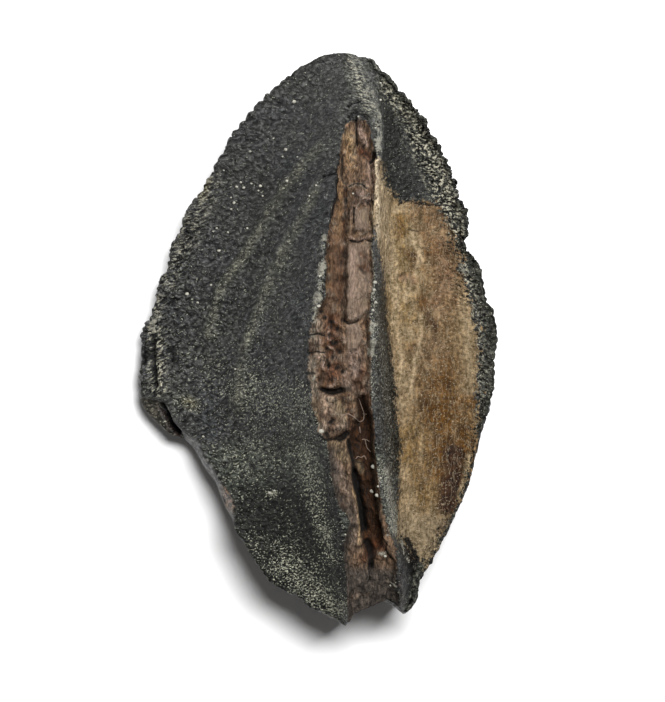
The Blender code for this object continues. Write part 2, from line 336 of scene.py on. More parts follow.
def crownZones(rails, shares):
    # the surface zone by zone, once around the crown from the left margin
    across = closerAtEnds(crown["leftFaceColumns"])
    leftFace = bridge(rails["leftMargin"], rails["leftLip"], across)
    rise = (rails["leftLip"] - rails["leftMargin"])[:, 2:]
    leftFace[..., 2] -= rise * crown["faceSag"] * np.sin(math.pi * across)
    across = evenly(crown["troughColumns"])
    trough = bridge(rails["leftLip"], rails["rightLip"], across)
    crestEnd = crown["crestRise"][-1][0]
    rise = fromTable(crown["crestRise"], np.minimum(shares, crestEnd))
    trough[..., 2] += rise[:, None] * np.sin(math.pi * across)
    across = evenly(crown["flankColumns"])
    flank = bridge(rails["rightLip"], rails["foot"], 0.6 * across + 0.4 * (0.5 + 4 * (across - 0.5) ** 3))
    flank[..., 2] = rails["rightLip"][:, 2:] + (rails["foot"] - rails["rightLip"])[:, 2:] * across
    across = np.append(closerAtEnds(crown["hollowColumns"] - 1), 1.0)
    hollow = bridge(rails["foot"], rails["rightMargin"], across)
    ends = np.clip(np.minimum(shares, 1 - shares) / crown["hollowEnds"], 0, 1)
    hollow[..., 2] -= crown["hollowDepth"] * ends[:, None] * np.sin(math.pi * across) ** 0.8
    across = evenly(crown["rimColumns"])
    rightRim = bridge(rails["rightMargin"], rails["rightEdge"], across)[:, 1:]
    leftRim = bridge(rails["leftEdge"], rails["leftMargin"], across)
    across = evenly(crown["backColumns"])
    bulge = -4 * crown["bellyBulge"] * across * (1 - across)
    rightBack = bridge(rails["rightEdge"], rails["rightRest"], across)
    rightBack[..., 2] += (rails["rightEdge"] - rails["rightRest"])[:, 2:] * bulge
    rest = bridge(rails["rightRest"], rails["leftRest"], evenly(crown["restColumns"]))
    leftBack = bridge(rails["leftRest"], rails["leftEdge"], across)
    leftBack[..., 2] += (rails["leftEdge"] - rails["leftRest"])[:, 2:] * bulge[::-1]
    return {"leftFace": leftFace, "trough": trough, "flank": flank, "hollow": hollow,
            "rightRim": rightRim, "rightBack": rightBack, "rest": rest, "leftBack": leftBack,
            "leftRim": leftRim}


def crownGrid():
    rows = np.linspace(0, 1, crown["rows"])
    shares = 0.75 * rows + 0.125 * (1 - np.cos(math.pi * rows))
    rails, details, runs = crownRails(shares)
    zones = crownZones(rails, shares)
    grid = np.concatenate(list(zones.values()), axis=1)
    everywhere = np.ones(grid.shape[:2])
    columns, first = {}, 0
    for name, part in zones.items():
        columns[name] = slice(first, first + part.shape[1])
        first += part.shape[1]

    # how far each point is from its own margin, along its row
    steps = np.linalg.norm(grid - np.roll(grid, 1, axis=1), axis=-1)
    steps[:, 0] = 0
    around = np.cumsum(steps, axis=1)
    fromRight = np.abs(around - around[:, columns["hollow"].stop - 1][:, None])
    fromLeft = np.minimum(around, around[:, -1:] - around)
    isLeft = np.zeros(grid.shape[:2], bool)
    for name in ("leftFace", "leftBack", "leftRim"):
        isLeft[:, columns[name]] = True
    isFront = np.arange(grid.shape[1])[None] < columns["rightRim"].start
    reach = np.where(isFront, *crown["detailReach"])
    for side, distance in (("left", fromLeft), ("right", fromRight)):
        near = 1 - smoothStep(0.1, 1, distance / reach)
        grid[..., :2] += details[side][:, None] * near[..., None]

    # 1 on the front and falling to 0 across the left rim, from the margin to the rim's lower edge
    upToMargin = isFront * everywhere
    upToMargin[:, columns["leftRim"]] = evenly(crown["rimColumns"])

    # the broken base's edge is notched, and the rows near it follow
    leftEnd, rightEnd = rails["leftMargin"][-1, 0], rails["rightMargin"][-1, 0]
    place = np.clip((grid[..., 0] - leftEnd) / (rightEnd - leftEnd), 0, 1)
    grid[..., 1] += fromTable(crown["baseEdge"], place) * smoothStep(0.9, 1, shares)[:, None] ** 2
    fields = {"isLeft": isLeft, "isFront": isFront & (everywhere > 0), "upToMargin": upToMargin,
              "inward": np.where(isLeft, fromLeft, fromRight),
              "run": np.where(isLeft, runs["left"][:, None], runs["right"][:, None]),
              "share": shares[:, None] * everywhere}
    return grid, fields


grid, fields = crownGrid()
print("crown form:", grid.shape[0], "rows by", grid.shape[1], "columns")


# lines on the crown that more than one feature follows, as places in the plan view
lines = {
    "upperBand": [(0.2, 13.2), (-1.9, 10.9), (-3.2, 8.9), (-4.5, 6.7), (-5.5, 5.1), (-6.5, 3.8), (-7, 2.5),
                  (-7.6, 0.3)],
    "lowerBand": [(0, 10.4), (-1.2, 8), (-2.1, 6.4), (-3, 4.5), (-3.7, 2.8), (-4.4, 1), (-5, -0.7),
                  (-5.3, -2.4), (-5.5, -4.8)],
    "brokenLip": [(-0.1, 1), (-0.3, -0.4), (-0.3, -1.8), (-0.2, -3.6), (0, -5.1), (0.3, -6.4)],
    "slantingRidge": [(2.6, 8.95), (3.05, 9.57), (3.57, 10.15)],
    "outerRim": [(2.28, 8.4), (2.33, 9.1), (2.65, 9.85), (3.2, 10.2)],
    "lowerRim": [(2.28, 7.05), (2.63, 6.8), (3.47, 6.98), (3.75, 7.2)],
    "topRidge": [(2.2, 10.65), (2.6, 10.8), (3.15, 10.7)],
    "besideKeel": [(4.4, 3), (4.8, -1), (5, -5), (5.3, -9)],
    "lobe": [(6.2, -15), (6.5, -17.5), (6, -19)],
    "lowerCrest": [(0.7, -8.4), (0.95, -10.5), (1.35, -12.6), (1.6, -14)],
}

# what growth and time did to the surface
surface = {
    "boxMargin": 0.005,
    # how far each kind of outline wanders
    "lineWander": 0.07,
    "coreWander": 0.14,
    "plateWander": 0.17,
    "hollowWander": 0.2,
    "rimWander": 0.42,
    # how high each kind of relief stands
    "swells": 0.07,
    "granules": 0.09,
    "wrinkles": 0.36,
    "edgeFall": 0.12,
    "crestRipples": 0.16,
    "hollowFibres": 0.07,
    "hollowGrit": 0.07,
    "brokenBlocks": 0.2,
    "pitDepth": 0.35,
    "crumbling": 0.22,
    "backSwells": 0.16,
    "enamelStep": 0.16,
    "hollowOutline": [  # the hollow face, where the enamel is gone
        (4, 12.4), (3.8, 10.1), (3.9, 8.2), (4.1, 7.2), (4.45, 6), (4.7, 4.4), (4.85, 2), (5.1, 0.1),
        (5.3, -1.9), (5.5, -3.9), (5.6, -5.8), (5.8, -7.8), (5.8, -9.5), (5.75, -11.3), (5.5, -12.7),
        (5.5, -14), (6, -14), (6.5, -14.6), (7, -15.2), (7.5, -15.9), (7.9, -15.5), (8.3, -14.7),
        (8.4, -14.1), (8.6, -13.5), (9.1, -13.2), (9.4, -12.5), (9.6, -12), (10.1, -11.1), (10.5, -9.9),
        (10.85, -8.8), (11.1, -7.9), (11.25, -7.1), (11.3, -6), (11.2, -5.3), (11.1, -4.3), (11.2, -2.9),
        (11.3, -1.5), (11.2, -0.4), (11.2, 0.6), (10.9, 1.7), (10.7, 2.7), (10.5, 3.4), (10.3, 4.5),
        (10, 5.5), (9.8, 6.2), (9.6, 7.2), (9, 8.2), (8.6, 8.8), (8.1, 9.5), (7.6, 9.5), (6.6, 9.6),
        (5.8, 9.5), (5.4, 9.9), (4.9, 10.6), (4.7, 11.6), (4.4, 12.3),
    ],
    "coreOutline": [  # the keel's broken crest, where its core shows
        (2.05, 15.0), (2.55, 15.3), (3.15, 15.15), (3.55, 14.8), (3.7, 14.1), (4, 12.9), (4, 12.3),
        (4, 11.3), (4, 9.7), (3.9, 8), (3.8, 6.2), (3.9, 4.5), (3.7, 2.7), (3.6, 1.3), (3.7, -0.4),
        (3.7, -2.2), (3.7, -3.9), (3.9, -5.8), (4, -7.8), (4.2, -9.5), (4.4, -11), (4.75, -12.5),
        (5.15, -13.5), (5.5, -14.6), (5.5, -15.8), (5.4, -17.2), (5.8, -19.3), (3.8, -20.8), (2.1, -20.8),
        (2.1, -18.3), (2.05, -16.9), (1.85, -15.5), (1.8, -14.3), (2.25, -12.9), (1.85, -11.9),
        (1.4, -11.4), (1.0, -9.9), (0.85, -8.6), (0.7, -7.1), (0.2, -6.4), (-0.15, -5.1), (-0.3, -4.3),
        (-0.5, -2.9), (-0.5, -1.4), (-0.5, 0.1), (-0.1, 1.9), (0.55, 2.8), (0.6, 4), (0.62, 6.2),
        (0.8, 7.4), (0.95, 8.7), (1.2, 10.1), (1.2, 11.5), (1.6, 12.8), (1.7, 14.1),
    ],
    # how deep the crest is broken down, from base to tip
    "troughDepth": [(-20.5, 0.4), (-18, 0.5), (-15, 0.6), (-9, 0.45), (-6, 0.7), (0, 0.6), (8, 0.5),
                    (13, 0.5), (16, 0.3)],
    "deepOutline": [(2.3, -6.9), (2.5, -8.3), (2.62, -9.7), (2.8, -10.8), (3, -12), (3.1, -13.4),
                    (3.25, -14.6), (3.6, -15.6), (4.1, -15.2), (4.5, -14.5), (4.65, -13.6), (4.3, -12.4),
                    (4.1, -10.9), (3.9, -9), (3.8, -7.2), (3.6, -5.2), (3.2, -3.9), (2.8, -4.4),
                    (2.9, -5.6), (2.6, -6.2)],
    "deepDrop": 1.1,
    "wallTop": [(-11, -4.4), (-10.5, -4.8), (-10, -5.7), (-9.3, -6.5), (-8.4, -7.1), (-8.2, -7.6),
                (-7.9, -8.2), (-7.5, -8.8), (-7.1, -9.3), (-6.8, -9.9), (-6.4, -10.4), (-6.1, -10.9),
                (-5.9, -11.3), (-5.8, -12), (-5.8, -13.4)],
    "wallDrop": 1.3,
    "splinterOutline": [(-13.2, -3.8), (-11.7, -4.1), (-11.05, -4.5), (-10.75, -5.2), (-10.4, -5.9),
                        (-9.85, -6.65), (-9.5, -7), (-13, -7.2)],
    "splinterDrop": 0.55,
    # low ridges: where each runs, its width, its height
    "ridges": [
        (lines["upperBand"], 1.0, 0.26),
        (lines["lowerBand"], 0.9, 0.24),
        (lines["brokenLip"], 0.55, 0.4),
        ([(2.2, -8.6), (2.45, -10.2), (2.68, -11.2), (2.88, -12.2), (2.95, -13.2),
          (2.9, -14.4)], 0.5, 0.35),
        ([(2.76, 14.6), (3, 14.1), (3.25, 13.7)], 0.36, 0.35),
        ([(2.2, 14), (2.3, 13.4), (2.5, 12.6)], 0.4, 0.2),
        (lines["slantingRidge"], 0.2, 0.28),
        ([(2.88, 7.1), (3.3, 7.25), (3.6, 7.6)], 0.16, 0.2),
        ([(2.56, 8.0), (2.56, 8.87), (2.8, 9.36), (3.26, 9.72), (3.75, 9.72)], 0.14, 0.26),
        (lines["outerRim"], 0.13, 0.22),
        (lines["lowerRim"], 0.14, 0.24),
        (lines["topRidge"], 0.22, 0.2),
        ([(4.2, 15.5), (4.35, 14.3), (4.3, 12.8), (4.1, 12.2)], 0.35, 0.2),
        ([(4.08, 12), (4.1, 10.2), (4.2, 7.9)], 0.22, 0.2),
        ([(3.95, 0.9), (3.95, 0.2), (3.75, -0.3)], 0.4, 0.3),
        ([(0.45, 6.6), (0.35, 5.2), (0.25, 4), (0.1, 2.4)], 0.4, 0.3),
        ([(1.0, -6.2), (1.5, -6.3), (1.9, -6.1)], 0.4, 0.25),
    ],
    # thin plates: outline, height
    "plates": [
        ([(2.53, 8.76), (2.65, 8.87), (3.29, 9.16), (3.57, 9.1), (3.57, 7.65), (3.46, 7.6), (2.94, 7.36),
          (2.47, 7.42)], 0.3),
        ([(2.12, 6.55), (2.9, 6.7), (3.58, 6.5), (3.58, 3.4), (3.4, 2), (2.9, 1.3), (1.95, 1.2),
          (2.08, 3.4)], 0.34),
        ([(2, 1), (2.8, 1.1), (3.1, 0.3), (2.8, -0.8), (2, -0.8)], 0.2),
    ],
    # cracks, pits and channels: where each runs, its width, its depth, and how much painted shade and dark
    # fill darken it
    "cuts": [
        ([(1.95, 11.25), (2, 9.71), (1.96, 7.61), (1.93, 5.51), (1.9, 3.41),
          (1.75, 1.17)], 0.24, 0.35, 0.6),
        ([(1.44, 12.65), (1.23, 11.11), (1.16, 9.71), (1.02, 8.59)], 0.17, 0.3, 0.95),
        ([(2.21, 10.62), (2.63, 10.87), (3.05, 10.8), (3.4, 10.48)], 0.16, 0.25, 0.85),
        ([(2.53, 9.2), (2.52, 8.1)], 0.14, 0.2, 0.95),
        ([(2.15, 9), (2.2, 7.9)], 0.18, 0.15, 0.6),
        ([(2.45, 10.3), (2.75, 10.1), (2.6, 9.5)], 0.3, 0.2, 0.55),
        ([(3.1, 9.4), (3.4, 9.55), (3.7, 9.3)], 0.13, 0.15, 0.7),
        ([(3.6, 9.1), (3.62, 8.2)], 0.12, 0.15, 0.6),
        ([(2.66, 15.3), (2.68, 14.4), (2.75, 13.6)], 0.17, 0.3, 0.85),
        ([(1.75, 12.9), (1.72, 11.8), (1.8, 10.9)], 0.17, 0.2, 0.75),
        ([(1.95, 15.1), (2.3, 15.3), (2.6, 15.2)], 0.3, 0.2, 0.7),
        ([(2.28, 6.84), (2.84, 6.7), (3.26, 6.91), (3.82, 6.7)], 0.16, 0.25, 0.85),
        ([(1.79, 1.31), (2.14, 1.03), (2.49, 1.1), (2.91, 1.31)], 0.15, 0.25, 0.95),
        ([(0.3, -3.5), (0.8, -3.72), (1.25, -3.78)], 0.28, 0.5, 1.2),
        ([(0.75, -3.68), (1.15, -3.76), (1.65, -3.62)], 0.36, 0.6, 1.3),
        ([(1.6, -3.6), (2.2, -3.5), (2.9, -4.1)], 0.4, 0.2, 0.6),
        ([(0.4, 11.2), (0.95, 11.39), (1.3, 11.46)], 0.15, 0.2, 1),
        ([(2.07, 16.15), (2.42, 16.33), (2.91, 16.43)], 0.15, 0.25, 1),
        ([(2.07, 15.45), (2.49, 15.73), (3.05, 15.59), (3.47, 15.24)], 0.17, 0.25, 1),
        ([(-0.53, 0.19), (0.04, 0.33), (0.6, 0.19)], 0.13, 0.2, 1),
        ([(-0.6, -1), (-0.04, -0.93), (0.53, -1)], 0.14, 0.2, 1),
        ([(-0.6, -2.4), (-0.11, -2.4)], 0.13, 0.2, 1),
        ([(2.2, -7.2), (2.45, -8.3), (2.58, -9.7)], 0.26, 0.7, 1.1),
        ([(2.62, -9.6), (2.85, -10.6), (3.02, -11.4), (3.2, -12.4), (3.32, -13.6)], 0.44, 0.9, 1.3),
        ([(3.6, -14.6), (3.85, -15.3), (3.8, -16.1)], 0.45, 0.5, 1.2),
        ([(3.8, -16.1), (3.7, -17.2)], 0.2, 0.3, 0.6),
        ([(0.5, -7), (1.1, -7.05), (1.6, -6.95)], 0.2, 0.3, 0.9),
        ([(1.6, -7), (1.85, -6.85), (2.05, -6.7)], 0.4, 0.5, 1.2),
        ([(0.6, -6.6), (0.75, -6.8)], 0.3, 0.3, 1),
        ([(0.85, -5.9), (1.15, -5.75)], 0.3, 0.25, 0.9),
        ([(3, 4.9), (3.2, 4.5)], 0.3, 0.12, 0.7),
        ([(3.2, 6.1), (3.3, 5.5)], 0.25, 0.1, 0.5),
        ([(3.95, 12.9), (3.9, 12.55), (3.75, 12.45)], 0.3, 0.5, 1.2),
        ([(3.2, 13.5), (3.4, 13), (3.7, 12.8)], 0.42, 0.35, 0.55),
        ([(6.48, 7.68), (6.76, 7.58), (7.11, 7.54)], 0.12, 0.08, 0.8),
        ([(4.87, -5.69), (4.94, -7.44), (4.94, -8.77)], 0.2, 0.12, 0.6),
        ([(6.42, -14), (6.7, -14.7), (7, -15.4)], 0.28, 0.08, 1.3),
        ([(6.55, -15.9), (6.6, -16.8), (6.35, -17.8)], 0.34, 0.1, 0.9),
        ([(-11.66, 0.26), (-11.66, -0.79), (-11.59, -1.84), (-11.45, -3.31)], 0.28, 0.3, 1),
        ([(-10.33, -0.79), (-10.26, -1.28), (-10.12, -1.77)], 0.5, 0.2, 0.7),
        ([(-11.0, -4.6), (-10.75, -5.2), (-10.4, -5.9), (-9.85, -6.6)], 0.3, 0.6, 1.1),
        ([(2.9, -3.2), (2.8, -4.4), (3.2, -5.4)], 0.35, 0.25, 0.5),
    ],
    "redPits": [(0.53, 1.45), (0.95, 1.17), (1.44, 0.61), (0.88, 0.19), (1.3, -0.3), (0.67, -0.72),
                (1.09, -1.28), (0.81, -1.91), (1.58, -0.93), (1.79, -2.33), (1.37, -2.05), (0.3, 1.9),
                (1.0, 0.75), (1.05, -0.35)],
    # how strongly the margins are wrinkled, by the share of the way from tip to base
    "leftWrinkles": [(0, 0.25), (0.22, 0.35), (0.32, 0.8), (0.42, 1.15), (0.55, 1.3), (0.59, 0.3), (1, 0.3)],
    "rightWrinkles": [(0, 0.4), (0.08, 0.9), (0.2, 1.3), (0.33, 1.1), (0.45, 0.5), (0.7, 0.3), (1, 0.2)],
    "rightWrinkleReach": [(0, 0.8), (0.1, 1.4), (0.2, 1.9), (0.3, 1.5), (0.6, 1.3), (1, 1.2)],
}


def nearPath(path, width):
    # 1 on the line, falling smoothly to 0 at width from it
    near = 1 - np.clip(pathDistance(plan, path) / width, 0, 1)
    return near * near * (3 - 2 * near)


def insideBox(points):
    # kept just within the part's own box
    low, high = (np.array(corner) / mm for corner in cadBox)
    return np.clip(points, low + surface["boxMargin"], high - surface["boxMargin"])


def gridNormals(grid):
    around = np.roll(grid, -1, axis=1) - np.roll(grid, 1, axis=1)
    along = np.gradient(grid, axis=0)
    normal = np.cross(around, along)
    normal /= np.maximum(np.linalg.norm(normal, axis=-1, keepdims=True), 1e-9)
    return -normal


def stretched(x, y, z):
    # the grid squeezed along each axis, for noise that runs long one way
    return grid * np.array([x, y, z])


normals = gridNormals(grid)
isFront, isLeft = fields["isFront"], fields["isLeft"]
run, inward, share = fields["run"], fields["inward"], fields["share"]
x, y = grid[..., 0], grid[..., 1]
wobble = np.stack([layeredNoise(grid, 0.6, 40), layeredNoise(grid, 0.6, 45)], axis=-1)
flat = grid[..., :2]
plan = flat + surface["lineWander"] * wobble
ragged = flat + np.where(x > 8, surface["rimWander"], surface["hollowWander"])[..., None] * wobble
hollowEdge = np.where(isFront, insideDistance(ragged, surface["hollowOutline"]), -3)
coreEdge = insideDistance(flat + surface["coreWander"] * wobble, surface["coreOutline"])
coreEdge = np.where(isFront, coreEdge, -3)
inHollow, inCore = smoothStep(-0.08, 0.12, hollowEdge), smoothStep(-0.05, 0.1, coreEdge)
backward = ~isFront * smoothStep(0.6, 1.8, inward + 0.6 * layeredNoise(grid, 1.2, 48))
enamel = np.where(isFront, (1 - inHollow) * (1 - inCore), 1 - backward)

outsideWall = insideDistance(plan, [(-13.2, -3.9), *surface["wallTop"], (-6.2, -14.2), (-14, -16)])
wall = isLeft * (share > 0.5) * smoothStep(-0.05, 0.08, outsideWall) * smoothStep(-13.9, -13.3, y)
wall *= fields["upToMargin"]
splinter = wall * smoothStep(-0.05, 0.05, insideDistance(plan, surface["splinterOutline"]))

undulation = layeredNoise(grid, 2.6, 50)
medium = layeredNoise(grid, 0.9, 54)
small = layeredNoise(grid, 0.36, 58, 2)
fibres = layeredNoise(stretched(5.0, 0.8, 5.0), 1.0, 80)
plates = np.zeros(grid.shape[:2])
# painted shade, with some dark fill, in the cracks, pits and wrinkle valleys
cutShadeAndFill = np.zeros(grid.shape[:2])

# enamel: gentle swells, and granules that run across the crown
lift = surface["swells"] * undulation * (1 - 0.6 * inCore)
granules = np.abs(softNoise(stretched(2.2, 3.6, 2.6), 1.0, 60))
lift += surface["granules"] * (granules - 0.4) * enamel * (1 - wall)
lift += 0.03 * medium * enamel
lift -= surface["enamelStep"] * (1 - enamel) * np.where(isFront, 1, 0.6)

# wrinkles run in from the margins
sway = run + np.where(isLeft, 0.34, 0.1) * inward + 0.3 * softNoise(grid, 1.1, 70)
pitch = np.where(isLeft, 0.42, 0.34)
folds = np.stack([sway / pitch, (inward + 0.4 * medium) / np.where(isLeft, 1.3, 0.8), sway * 0], axis=-1)
strength = np.where(isLeft, fromTable(surface["leftWrinkles"], share),
                    fromTable(surface["rightWrinkles"], share))
reach = np.where(isLeft, 1 - smoothStep(0.9, 3.6, inward),
                 1 - smoothStep(-0.5, 0.3, inward - fromTable(surface["rightWrinkleReach"], share)))
reach = np.where(isFront, reach, 0.6 * (1 - smoothStep(0.3, 1.4, inward)))
fold = np.abs(softNoise(folds, 1.0, 72)) + 0.5 * np.abs(softNoise(folds * 2.1, 1.0, 73))
wrinkled = strength * reach * enamel * (1 - wall)
lift += surface["wrinkles"] * (fold - 0.45) * wrinkled
# painted shade in the wrinkles' valleys
wrinkleValleyShade = smoothStep(0.3, 0.06, fold) * np.clip(wrinkled, 0, 1.1)
cutShadeAndFill = np.maximum(cutShadeAndFill, np.where(isLeft, 0.75, 0.55) * wrinkleValleyShade)
lift -= surface["edgeFall"] * (1 - smoothStep(0, 0.35, inward)) * isFront
# the worn lobe at the foot of the keel
lobe = nearPath([(6, -15.2), (6.2, -17), (5.6, -18.8)], 1.3) * (x > 5.2) * isFront * (1 - inHollow)
lift += lobe * (0.13 * small + 0.1 * medium)
# growth ripples on the unbroken crest near the tip
crest = smoothStep(1.3, 2.1, x + 0.3 * medium) * smoothStep(4.7, 4.1, x) * smoothStep(15.2, 15.9, y) * isFront
lift += surface["crestRipples"] * crest * layeredNoise(stretched(0.9, 4.5, 0.9), 1.0, 76)
# where the finish is finely wrinkled
finely = np.maximum.reduce([
    np.clip(1.1 * wrinkled, 0, 1.1),
    0.5 * nearPath([(0.3, 9), (-0.7, 5), (-1.1, 1.5)], 1.8) * enamel,
    0.9 * nearPath([(9.5, 8.4), (9.6, 7), (9.8, 5), (10.4, 3)], 1.5) * isFront,
    0.9 * crest,
    0.9 * nearPath([(6.1, -14.6), (6.5, -17.5), (6, -19)], 1.6) * (x > 5.2) * isFront,
])

# the hollow: fibres beside the keel, grit elsewhere
besideKeel = 1 - smoothStep(0.6, 2.2, x - 4.6)
lift += inHollow * (surface["hollowFibres"] * fibres * (0.35 + 0.65 * besideKeel)
                    + surface["hollowGrit"] * small * (1 - 0.6 * besideKeel))
lift += 0.06 * inHollow * medium

# the crest's broken core
for outline, height in surface["plates"]:
    fromEdge = insideDistance(flat + surface["plateWander"] * wobble, outline)
    inside = smoothStep(-0.07, 0.07, fromEdge) * isFront
    lift += height * inside
    plates = np.maximum(plates, inside)
rough = inCore * (1 - 0.85 * plates)
lift -= smoothStep(0, 0.35, coreEdge) * fromTable(surface["troughDepth"], y)
deep = smoothStep(-0.16, 0.16, insideDistance(ragged, surface["deepOutline"])) * inCore
lift -= surface["deepDrop"] * deep
blocks = np.round(2.5 * layeredNoise(stretched(1.3, 0.5, 1.3), 1.0, 90)) / 2.5
lift += rough * (0.18 * medium + 0.12 * fibres + 0.16 * small + surface["brokenBlocks"] * blocks)
lift += 0.05 * plates * medium
for path, width, height in surface["ridges"]:
    near = nearPath(path, width) * isFront
    lift += height * near * (1 + 0.5 * medium)
for path, width, depth, darkness in surface["cuts"]:
    near = nearPath(path, width) * isFront
    lift -= depth * near
    # painted shade and dark fill in the cut
    cutShadeAndFill = np.maximum(cutShadeAndFill, darkness * near)
for place in surface["redPits"]:
    near = nearPath([place, place], 0.4) * isFront
    lift -= surface["pitDepth"] * near
    # painted shade and dark fill in the pit
    cutShadeAndFill = np.maximum(cutShadeAndFill, 0.85 * near)
crumble = nearPath([(1.4, 12.6), (1.2, 10.1), (0.7, 7.2), (0, 4), (-0.5, 0.1), (-0.5, -2.9),
                    (0.2, -6.8)], 0.5)
lift -= surface["crumbling"] * crumble * smoothStep(0, 0.5, medium) * isFront

# the rough back, flattened where the crown rests
roughBack = surface["backSwells"] * layeredNoise(grid, 1.8, 100) + 0.06 * layeredNoise(grid, 0.5, 104)
roughBack += 0.05 * layeredNoise(stretched(3, 0.5, 3), 1.0, 108)
lift += ~isFront * roughBack
skin = grid + normals * lift[..., None]
skin[..., 2] -= surface["wallDrop"] * (wall - splinter) * smoothStep(0.02, 0.7, outsideWall)
skin[..., 2] -= surface["splinterDrop"] * splinter
resting = smoothStep(0.5, 0, grid[..., 2]) * ~isFront
skin[..., 2] += resting * (np.maximum(grid[..., 2], 0) + 0.2 * np.maximum(0, roughBack + 0.05) - skin[..., 2])
skin = insideBox(skin)
print("surface worked")


def paint(red, green, blue):
    # a colour as the eye sees it, from 0 to 255, as light reflected
    seen = np.array([red, green, blue], float) / 255
    linear = np.where(seen > 0.04045, ((seen + 0.055) / 1.055) ** 2.4, seen / 12.92)
    return np.maximum(linear * finish["strength"] - finish["sheen"], 0.002)


finish = {"strength": 0.6, "sheen": 0.0046}
finish.update({
    # enamel
    "enamel": paint(65, 65, 63), "enamelBlue": paint(61, 62, 63), "enamelPatch": paint(49, 50, 48),
    "enamelGreen": paint(66, 70, 62), "enamelLow": paint(38, 39, 36), "enamelGap": paint(22, 23, 20),
    "olive": paint(98, 97, 86), "oliveDeep": paint(92, 86, 58), "keel": paint(80, 81, 77),
    "rim": paint(60, 60, 54),
    # the broken wall and its ledge, with dark patches and painted shadow in the crevice
    "wall": paint(97, 96, 94), "ledge": paint(70, 67, 60), "darkPatchAndShadow": paint(36, 25, 20),
    "wallBrown": paint(112, 90, 72),
    # the hollow face, where dentine shows
    "tan": paint(130, 109, 80), "tanPaleAndLit": paint(172, 152, 122), "tanOchre": paint(124, 102, 66),
    "tanDeep": paint(84, 58, 26), "tanCream": paint(206, 188, 160), "tanBrown": paint(104, 85, 62),
    "tanRed": paint(116, 92, 71), "stain": paint(56, 38, 14), "tanGrey": paint(120, 106, 84),
    "tanLight": paint(150, 132, 104),
    # the keel's core
    "core": paint(106, 86, 69), "corePink": paint(125, 108, 94), "corePale": paint(124, 112, 98),
    "coreOchre": paint(140, 111, 80), "coreRed": paint(88, 54, 38), "coreDeep": paint(57, 39, 20),
    "coreGrey": paint(72, 65, 59), "coreOlive": paint(108, 94, 74), "coreBrightAndHighlight": paint(166, 140, 106),
    "coreBrown": paint(76, 53, 38), "coreLilac": paint(118, 103, 95), "corePaler": paint(150, 128, 114),
    # the back
    "back": paint(96, 82, 66), "backDark": paint(58, 52, 46),
})


def tinted(base, strokes):
    colour = np.ones((*grid.shape[:2], 3)) * finish[base]
    for name, amount in strokes:
        colour = colour + (finish[name] - colour) * np.clip(amount, 0, 1)[..., None]
    return colour


blotch = layeredNoise(grid, 2.2, 120)
patchy = layeredNoise(grid, 0.8, 124)
wisps = layeredNoise(stretched(1.8, 0.4, 1.8), 1.0, 130)
bands = np.maximum(nearPath(lines["upperBand"], 0.62), nearPath(lines["lowerBand"], 0.62))
rimHere = ~isLeft * isFront * (1 - smoothStep(0.5, 1.6, inward))
enamelTint = tinted("enamel", [
    ("enamelBlue", 0.4 + 1.1 * blotch),
    ("enamelGreen", smoothStep(-2, -10, y) * (0.5 - blotch)),
    ("enamelLow", 1.3 * smoothStep(-8.5, -12, y) * isLeft),
    ("enamelGap", 1.7 * nearPath(lines["lobe"], 1.8) * (x > 5.3)),
    ("darkPatchAndShadow", 1.2 * lobe * smoothStep(-0.3, 0.3, patchy)),
    ("enamelGreen", 0.5 * lobe * smoothStep(-0.1, 0.4, medium)),
    ("enamelGap", lobe * smoothStep(-0.1, 0.4, -small)),
    ("enamelLow", 1.15 * nearPath(lines["besideKeel"], 1.1) * ~isLeft),
    ("enamelPatch", (x > 4.2) * smoothStep(8, 10, y) * (1 - rimHere) * 0.9),
    ("olive", bands * (0.65 + 0.7 * patchy)),
    ("oliveDeep", 0.7 * nearPath([(-7.8, 11.2), (-8.2, 10.2)], 0.6)),
    ("oliveDeep", 0.8 * nearPath([(6.2, 16.3), (6.9, 15.4)], 0.7)),
    ("oliveDeep", 0.5 * nearPath([(-9.2, -4.4), (-8.8, -4.6)], 0.7)),
    ("rim", rimHere),
    ("keel", crest * (0.8 + 0.6 * patchy)),
    ("keel", 0.7 * nearPath([(2.4, 16.9), (1.9, 16), (1.4, 14.6), (1.1, 12.8)], 0.8) * (0.7 + 0.9 * patchy)),
    ("keel", 0.8 * nearPath([(3.6, 16.6), (4.1, 15.4), (4.2, 13.4)], 0.7) * (0.8 + 0.6 * patchy)),
    ("enamelPatch", 0.9 * nearPath(lines["lowerCrest"], 0.8)),
    ("wall", wall * (0.85 + 0.3 * patchy)),
    ("wallBrown", wall * nearPath([(-6.5, -10.6), (-6.2, -11.8)], 0.6)),
    ("ledge", splinter),
    # painted shadow in the crevice between the splinter and the wall
    ("darkPatchAndShadow", splinter * nearPath([(-10.9, -4.9), (-10.3, -6), (-9.7, -6.9)], 0.7)),
    ("back", backward),
    ("backDark", backward * smoothStep(-0.1, 0.5, blotch) * 0.8),
])
# painted light: the left face lighter near its margin, where it slopes away from the light, and a little
# darker towards the tip
paintedLightOnLeft = 0.2 * (1 - smoothStep(1, 7, inward)) - 0.08 * smoothStep(5, 11, y)
enamelTint = enamelTint * (1 + isLeft * paintedLightOnLeft)[..., None]
